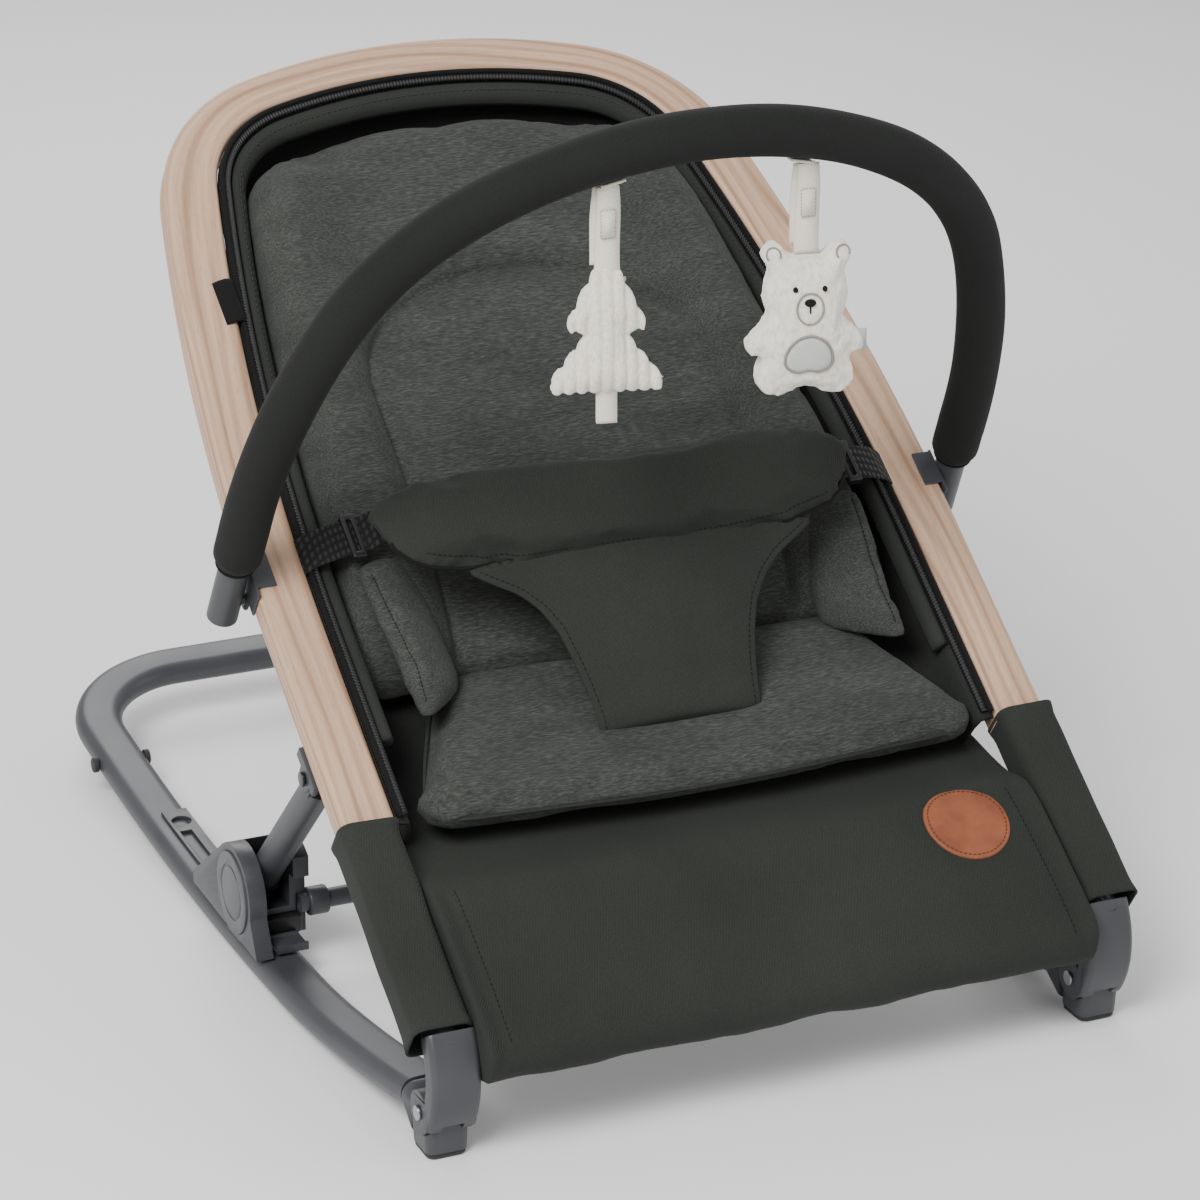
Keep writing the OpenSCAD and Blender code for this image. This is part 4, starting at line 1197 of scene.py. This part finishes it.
def cuff(s):
    """Fabric sleeve over the lower end of the frame, its top edge hemmed over the wood."""
    rings = []
    for v in list(np.linspace(3, -134, 46)):
        flare = 1.2 * math.exp(-((v - 3) / 5) ** 2) + 0.8 * math.exp(-((v + 134) / 5) ** 2)
        half_w, half_h, r = 17.6 + flare, 14.6 + flare, 7.5
        ring = []
        for cx, cy, start in ((1, 1, 90), (1, -1, 0), (-1, -1, -90), (-1, 1, 180)):
            for k in range(6):
                a = math.radians(start - 18 * k)
                ring.append(seat(s * (214.4 + cx * (half_w - r) + r * math.cos(a)), v,
                                 -9 + cy * (half_h - r) + r * math.sin(a)))
        rings.append(ring)
    inner = [[p.copy() for p in ring] for ring in rings]
    for ring in inner:
        middle = sum(ring, Vector()) / len(ring)
        for p in ring:
            p += (middle - p).normalized() * 0.0016
    mesh = ring_mesh(f"cuff_{side_name(s)}", rings + inner[::-1], caps=False, loop=True)
    obj = finish_piece(f"cuff_{side_name(s)}", mesh, None, "woven")
    for vertex in obj.data.vertices:
        u, v, h = seat_coords(np.array([vertex.co]))[0]
        vertex.co += vertex.normal * noise.noise(Vector((u / 30 + s, v / 34, h / 30))) * 0.7 * MM
    obj.data.update()
    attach(obj, "seat")
    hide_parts(f"sleeve_{side_name(s)}")


def leather_patch():
    u0, v0, base = 143.0, -68.0, 6.6
    tree = surface_tree(bpy.data.objects["front_panel_cloth"])
    rings = []
    for radius, lift in ((0.01, 1.7), (8, 1.7), (16, 1.7), (22.5, 1.6), (24.4, 1.25), (25.9, 1.5), (26.6, 1.1),
                         (27, 0.4), (27, -0.3)):
        ring = []
        for k in range(72):
            a = 2 * math.pi * k / 72
            ring.append(nearest(tree, seat(u0 + radius * math.cos(a), v0 + radius * math.sin(a), base), lift * MM))
        rings.append(ring)
    finish_piece("leather_patch_disc", ring_mesh("leather_patch_disc", rings, caps=True), "seat",
                 "leather", ("leather_patch",))
    path = [nearest(tree, seat(u0 + 24.4 * math.cos(a), v0 + 24.4 * math.sin(a), base), 1.6 * MM)
            for a in np.linspace(0, 2 * math.pi, 90)]
    stitches("leather_patch_stitches", path, "seat", "tan_thread", 2.9, 2.0, 0.3)


def side_label():
    rings = []
    for k in range(12):
        t = k / 11
        v = 367 + 33 * t
        rings.append([seat(-188.5 + a, v, 0.2 + 3.2 * math.sin(a / 15 * 2.6) + lift)
                      for a, lift in ((0, 0), (4, 0.2), (8, 0.2), (12, 0), (12, -0.9), (8, -0.8), (4, -0.8),
                                      (0, -0.9))])
    finish_piece("side_label_tab", ring_mesh("side_label_tab", rings), "seat", "piping",
                 ("side_label",))


# ---- toy bar ----
def bar_cover():
    low = 32.0
    side = arch_side(BAR_ARCS, BAR_TOP, 0, 0, 5)
    side = [p for p in side if p[1] > 69.9]
    end = side[-1]
    lean = math.radians(3)
    for k in range(1, 10):
        run = (end[1] - low) * k / 9
        side.append((end[0] + run * math.sin(lean), end[1] - run * math.cos(lean)))
    side = [tuple(p) for p in resampled(side, 110)]
    path = [on_bar(x, w, 0) for x, w in mirrored(side)]
    total = 2 * 111 * 4.4

    def radius(t):
        tip = min(t, 1 - t) * total
        end_round = 1 - 0.30 * math.exp(-(tip / 5.0) ** 2)
        return (14.9 * end_round + 0.12 * math.sin(t * 60) * (1 if tip > 30 else 0)) * MM

    tube("toy_bar_sleeve", path, radius, "toy_bar", "bar", ("toy_bar_cover",), 28,
         side_dir=Vector((0, 1, 0)))
    for s in (-1, 1):
        x, w = side[-1]
        rim = [on_bar(s * (x - 0.16 + 11.2 * math.cos(a)), w + 1.2, 11.2 * math.sin(a))
               for a in np.linspace(0, 2 * math.pi, 40)[:-1]]
        tube(f"toy_bar_hem_{side_name(s)}", rim, 0.0011, "toy_bar", "piping", sides=8, loop=True)


# ---- toys ----
TREE_X, BEAR_X, TOY_TURN = -61.0, 64.0, math.radians(-14)


def bar_point(x):
    radius = BAR_ARCS[0][0]
    return on_bar(x, BAR_TOP - (radius - math.sqrt(radius ** 2 - x * x)), 0)


def toy_place(x, turn=TOY_TURN):
    """A toy's own frame: x across, z up, y towards the back, from the bar's middle above it."""
    origin = bar_point(x)
    spin = Matrix.Rotation(turn, 3, "Z")

    def put(a, b, c):
        # a across, b up, c towards the viewer
        return origin + spin @ Vector((a, -c, b)) * MM
    return put


def toy_strap(name, x, drop, body, node, patch):
    """Flat ribbon: a tab sewn under the bar, and two layers hanging down to the toy."""
    tilt = math.asin(x / BAR_ARCS[0][0])
    pad = 15.9
    path = []
    for k in range(0, 13):
        a = math.radians(-128 + 76 * k / 12)
        path.append((pad * math.cos(a), pad * math.sin(a)))
    rings = []
    centre = bar_point(x)
    tangent = (on_bar(math.cos(tilt), -math.sin(tilt), 0) - on_bar(0, 0, 0)).normalized()
    up = (on_bar(math.sin(tilt), math.cos(tilt), 0) - on_bar(0, 0, 0)).normalized()
    out = tangent.cross(up)
    half = 7.3
    for q, r in path:
        for_ring = []
        direction = (out * q + up * r) / pad
        for offset, lift in ((-half, 0), (-half * 0.5, 0.1), (half * 0.5, 0.1), (half, 0), (half, 1.5),
                             (half * 0.5, 1.7), (-half * 0.5, 1.7), (-half, 1.5)):
            for_ring.append(centre + tangent * offset * MM + direction * (pad + lift) * MM)
        rings.append(for_ring)
    finish_piece(f"{name}_tab", ring_mesh(f"{name}_tab", rings), body, "strap", (node,))
    for index, (depth, shift, fall) in enumerate(((1.6, 0.0, drop + 2), (-1.2, -2.2, drop - 3))):
        rings = []
        for t in np.linspace(0, 1, 22):
            z = -15.5 / math.cos(tilt) - (fall - 15.5) * t - 7.0 * abs(math.sin(tilt)) * (1 - t)
            wave = 0.9 * math.sin(t * 5 + index * 2) * (1 - t)
            turn = TOY_TURN * t
            spin = Matrix.Rotation(turn, 3, "Z")
            ring = []
            for a, c in ((-half, 0.6), (0, 0.75), (half, 0.6), (half, -0.6), (0, -0.5), (-half, -0.6)):
                width = 0.92 + 0.08 * t
                ring.append(centre + spin @ Vector(((a + shift) * width + wave, -(c + depth), z)) * MM)
            rings.append(ring)
        part = f"{name}_ribbon_{index}"
        finish_piece(part, ring_mesh(part, rings), body, "strap")
    if patch:
        box_piece(f"{name}_patch", toy_place(x, TOY_TURN * 0.5), (-4.6, -drop * 0.72, 2.6), (9.2, 17, 0.9), body,
                  "strap")
        outline = [(-4.4, -drop * 0.72 + 0.3), (4.4, -drop * 0.72 + 0.3), (4.4, -drop * 0.72 + 16.7),
                   (-4.4, -drop * 0.72 + 16.7), (-4.4, -drop * 0.72 + 0.3)]
        place_on = toy_place(x, TOY_TURN * 0.5)
        stitches(f"{name}_patch_stitches", [place_on(a, b, 3.6) for a, b in outline], body, "grey_thread",
                 2.0, 1.3, 0.2)


def box_piece(name, put, corner, size, body, material, bevel=0.0004):
    bm = bmesh.new()
    box_mesh(bm, corner, size, lambda a, b, c: put(a, b, c))
    bmesh.ops.bevel(bm, geom=list(bm.edges), offset=bevel, segments=2, affect="EDGES")
    bmesh.ops.recalc_face_normals(bm, faces=bm.faces)
    mesh = bpy.data.meshes.new(name)
    bm.to_mesh(mesh)
    bm.free()
    finish_piece(name, mesh, body, material)


def rounded_polygon(points, radius, steps=5):
    """The closed outline with each corner rounded."""
    out = []
    n = len(points)
    for i in range(n):
        p0, p1, p2 = Vector(points[i - 1]), Vector(points[i]), Vector(points[(i + 1) % n])
        a, b = p0 - p1, p2 - p1
        r = min(radius, a.length * 0.45, b.length * 0.45)
        start, end = p1 + a.normalized() * r, p1 + b.normalized() * r
        for k in range(steps + 1):
            t = k / steps
            p = start * (1 - t) ** 2 + p1 * 2 * t * (1 - t) + end * t * t
            out.append((p.x, p.y))
    return out


def tree_toy():
    put = toy_place(TREE_X)
    top = -64.6
    shape = [(-7, 0), (7, 0), (24, -31), (23, -37), (12.5, -37), (33.5, -68), (33, -75), (-33, -75), (-33.5, -68),
             (-12.5, -37), (-23, -37), (-24, -31)]
    outline = rounded_polygon([(x, y + top) for x, y in shape], 4.5)
    obj = outline_block("tree_toy_body", outline, -3.5, 3.5, put, "tree", "cream", ("tree_toy",),
                        0.0019, 0.009, 7.0)
    smoothed(obj, 2, 0.5)
    spin = Matrix.Rotation(-TOY_TURN, 3, "Z")
    origin = bar_point(TREE_X)
    for vertex in obj.data.vertices:
        local = spin @ (vertex.co - origin) / MM
        rib = abs(math.cos(math.pi * (local.x) / 7.2)) ** 0.7
        vertex.co += vertex.normal * (rib - 0.75) * 1.9 * MM
    obj.data.update()
    trunk = [[put(a, -136 - 23 * t, c) for a, c in ((-6, 1.2), (0, 1.5), (6, 1.2), (6, -1.2), (0, -1.4), (-6, -1.2))]
             for t in np.linspace(0, 0.92, 10)]
    finish_piece("tree_toy_trunk", ring_mesh("tree_toy_trunk", trunk), "tree", "strap")


def ellipse(cx, cy, rx, ry, start=0, end=360, step=12):
    return [(cx + rx * math.cos(a), cy + ry * math.sin(a)) for a in np.radians(np.arange(start, end, step))]


def bear_toy():
    put = toy_place(BEAR_X)
    top = -64.3
    # half outline: crown, ear, cheek, arm, side, foot
    half = [(0, -5.5), (9, -5.2), (13, -3.4), (15.5, 0.5), (20.5, 2.2), (25.6, -1), (27.4, -6.2), (25.2, -11.5),
            (23.6, -15), (26.4, -24), (27.0, -34), (25.4, -42), (28, -48), (34, -54), (37.6, -60.5), (36, -66),
            (31, -67), (27.6, -64.6), (28.6, -72), (29.8, -80), (28.8, -86), (24.6, -90.6), (18, -92.5), (11, -91.5),
            (6, -89.5), (0, -88.5)]
    outline = [(x, y + top) for x, y in half] + [(-x, y + top) for x, y in half[-2:0:-1]]
    outline = rounded_polygon(outline, 3.0, 3)
    obj = outline_block("bear_toy_body", outline, -7, 7, put, "bear", "plush", ("bear_toy",),
                        0.0022, 0.011, 8.0)
    smoothed(obj, 3, 0.5)
    ripple(obj, 0.5, 4, 2.0)
    tree = surface_tree(obj)

    def on_face(a, b, out=0.0):
        start = put(a, b + top, 40)
        direction = (put(a, b + top, -40) - start).normalized()
        hit = tree.ray_cast(start, direction)[0]
        if hit is None:
            hit = tree.find_nearest(put(a, b + top, 12))[0]
        return hit - direction * out * MM

    def patch(name, points, out, material):
        cx = sum(p[0] for p in points) / len(points)
        cy = sum(p[1] for p in points) / len(points)
        rings = []
        for share, lift in ((0.02, out), (0.35, out), (0.7, out), (0.92, out * 0.9), (1.0, out * 0.4), (1.02, -0.4)):
            rings.append([on_face(cx + (x - cx) * share, cy + (y - cy) * share, lift) for x, y in points])
        finish_piece(name, ring_mesh(name, rings), "bear", material)

    belly = [(13.5 * math.cos(a), -67.5 + (14.5 if math.sin(a) > 0 else 8.0) * math.sin(a))
             for a in np.radians(range(0, 360, 12))]
    belly = [(x, y + 2.6 * math.exp(-(x / 5) ** 2) * (1 if y < -68 else 0)) for x, y in belly]
    patch("bear_toy_belly", belly, 1.0, "silver")
    tube("bear_toy_belly_rim", [on_face(x * 1.06, -67.5 + (y + 67.5) * 1.06, 0.7) for x, y in belly], 0.0007, "bear",
         "grey_thread", sides=8, loop=True)
    muzzle = ellipse(0, -36, 7.8, 9.2)
    tube("bear_toy_muzzle_rim", [on_face(x, y, 0.5) for x, y in muzzle], 0.0006, "bear", "grey_thread",
         sides=8, loop=True)
    patch("bear_toy_nose", [(x, y) for x, y in ellipse(0, -32.4, 3.4, 2.3)], 1.3, "dark_thread")
    tube("bear_toy_mouth", [on_face(0, y, 0.5) for y in (-34.4, -35.8, -37.4, -38.6)], 0.0005, "bear",
         "dark_thread", sides=8)
    for s in (-1, 1):
        side = side_name(s)
        patch(f"bear_toy_eye_{side}", ellipse(s * 8.6, -24.5, 1.5, 1.7, step=24), 1.2, "dark_thread")
        arc = [on_face(s * 20.3 + 4.0 * math.cos(a), -5.2 + 4.2 * math.sin(a), 0.4)
               for a in np.radians(range(-20, 221, 20))]
        tube(f"bear_toy_ear_{side}", arc, 0.0006, "bear", "grey_thread", sides=8)
    box_piece("bear_tag_cloth", put, (27.6, -131.5, 0.2), (9.4, 13.5, 1.0), "bear", "silver")
    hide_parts("bear_tag")


base_tube()
moulded_parts()
carried_nodes()
wood_trim()
sling()
edge_pieces()
back_cushion()
seat_pad()
side_wing(1)
side_wing(-1)
front_panel()
cuff(1)
cuff(-1)
lap_belt()
crotch_strap()
webbing()
leather_patch()
side_label()
bar_cover()
toy_strap("tree_strap", TREE_X, 66, "tree", "tree_strap", True)
toy_strap("bear_strap", BEAR_X, 68, "bear", "bear_strap", True)
tree_toy()
bear_toy()
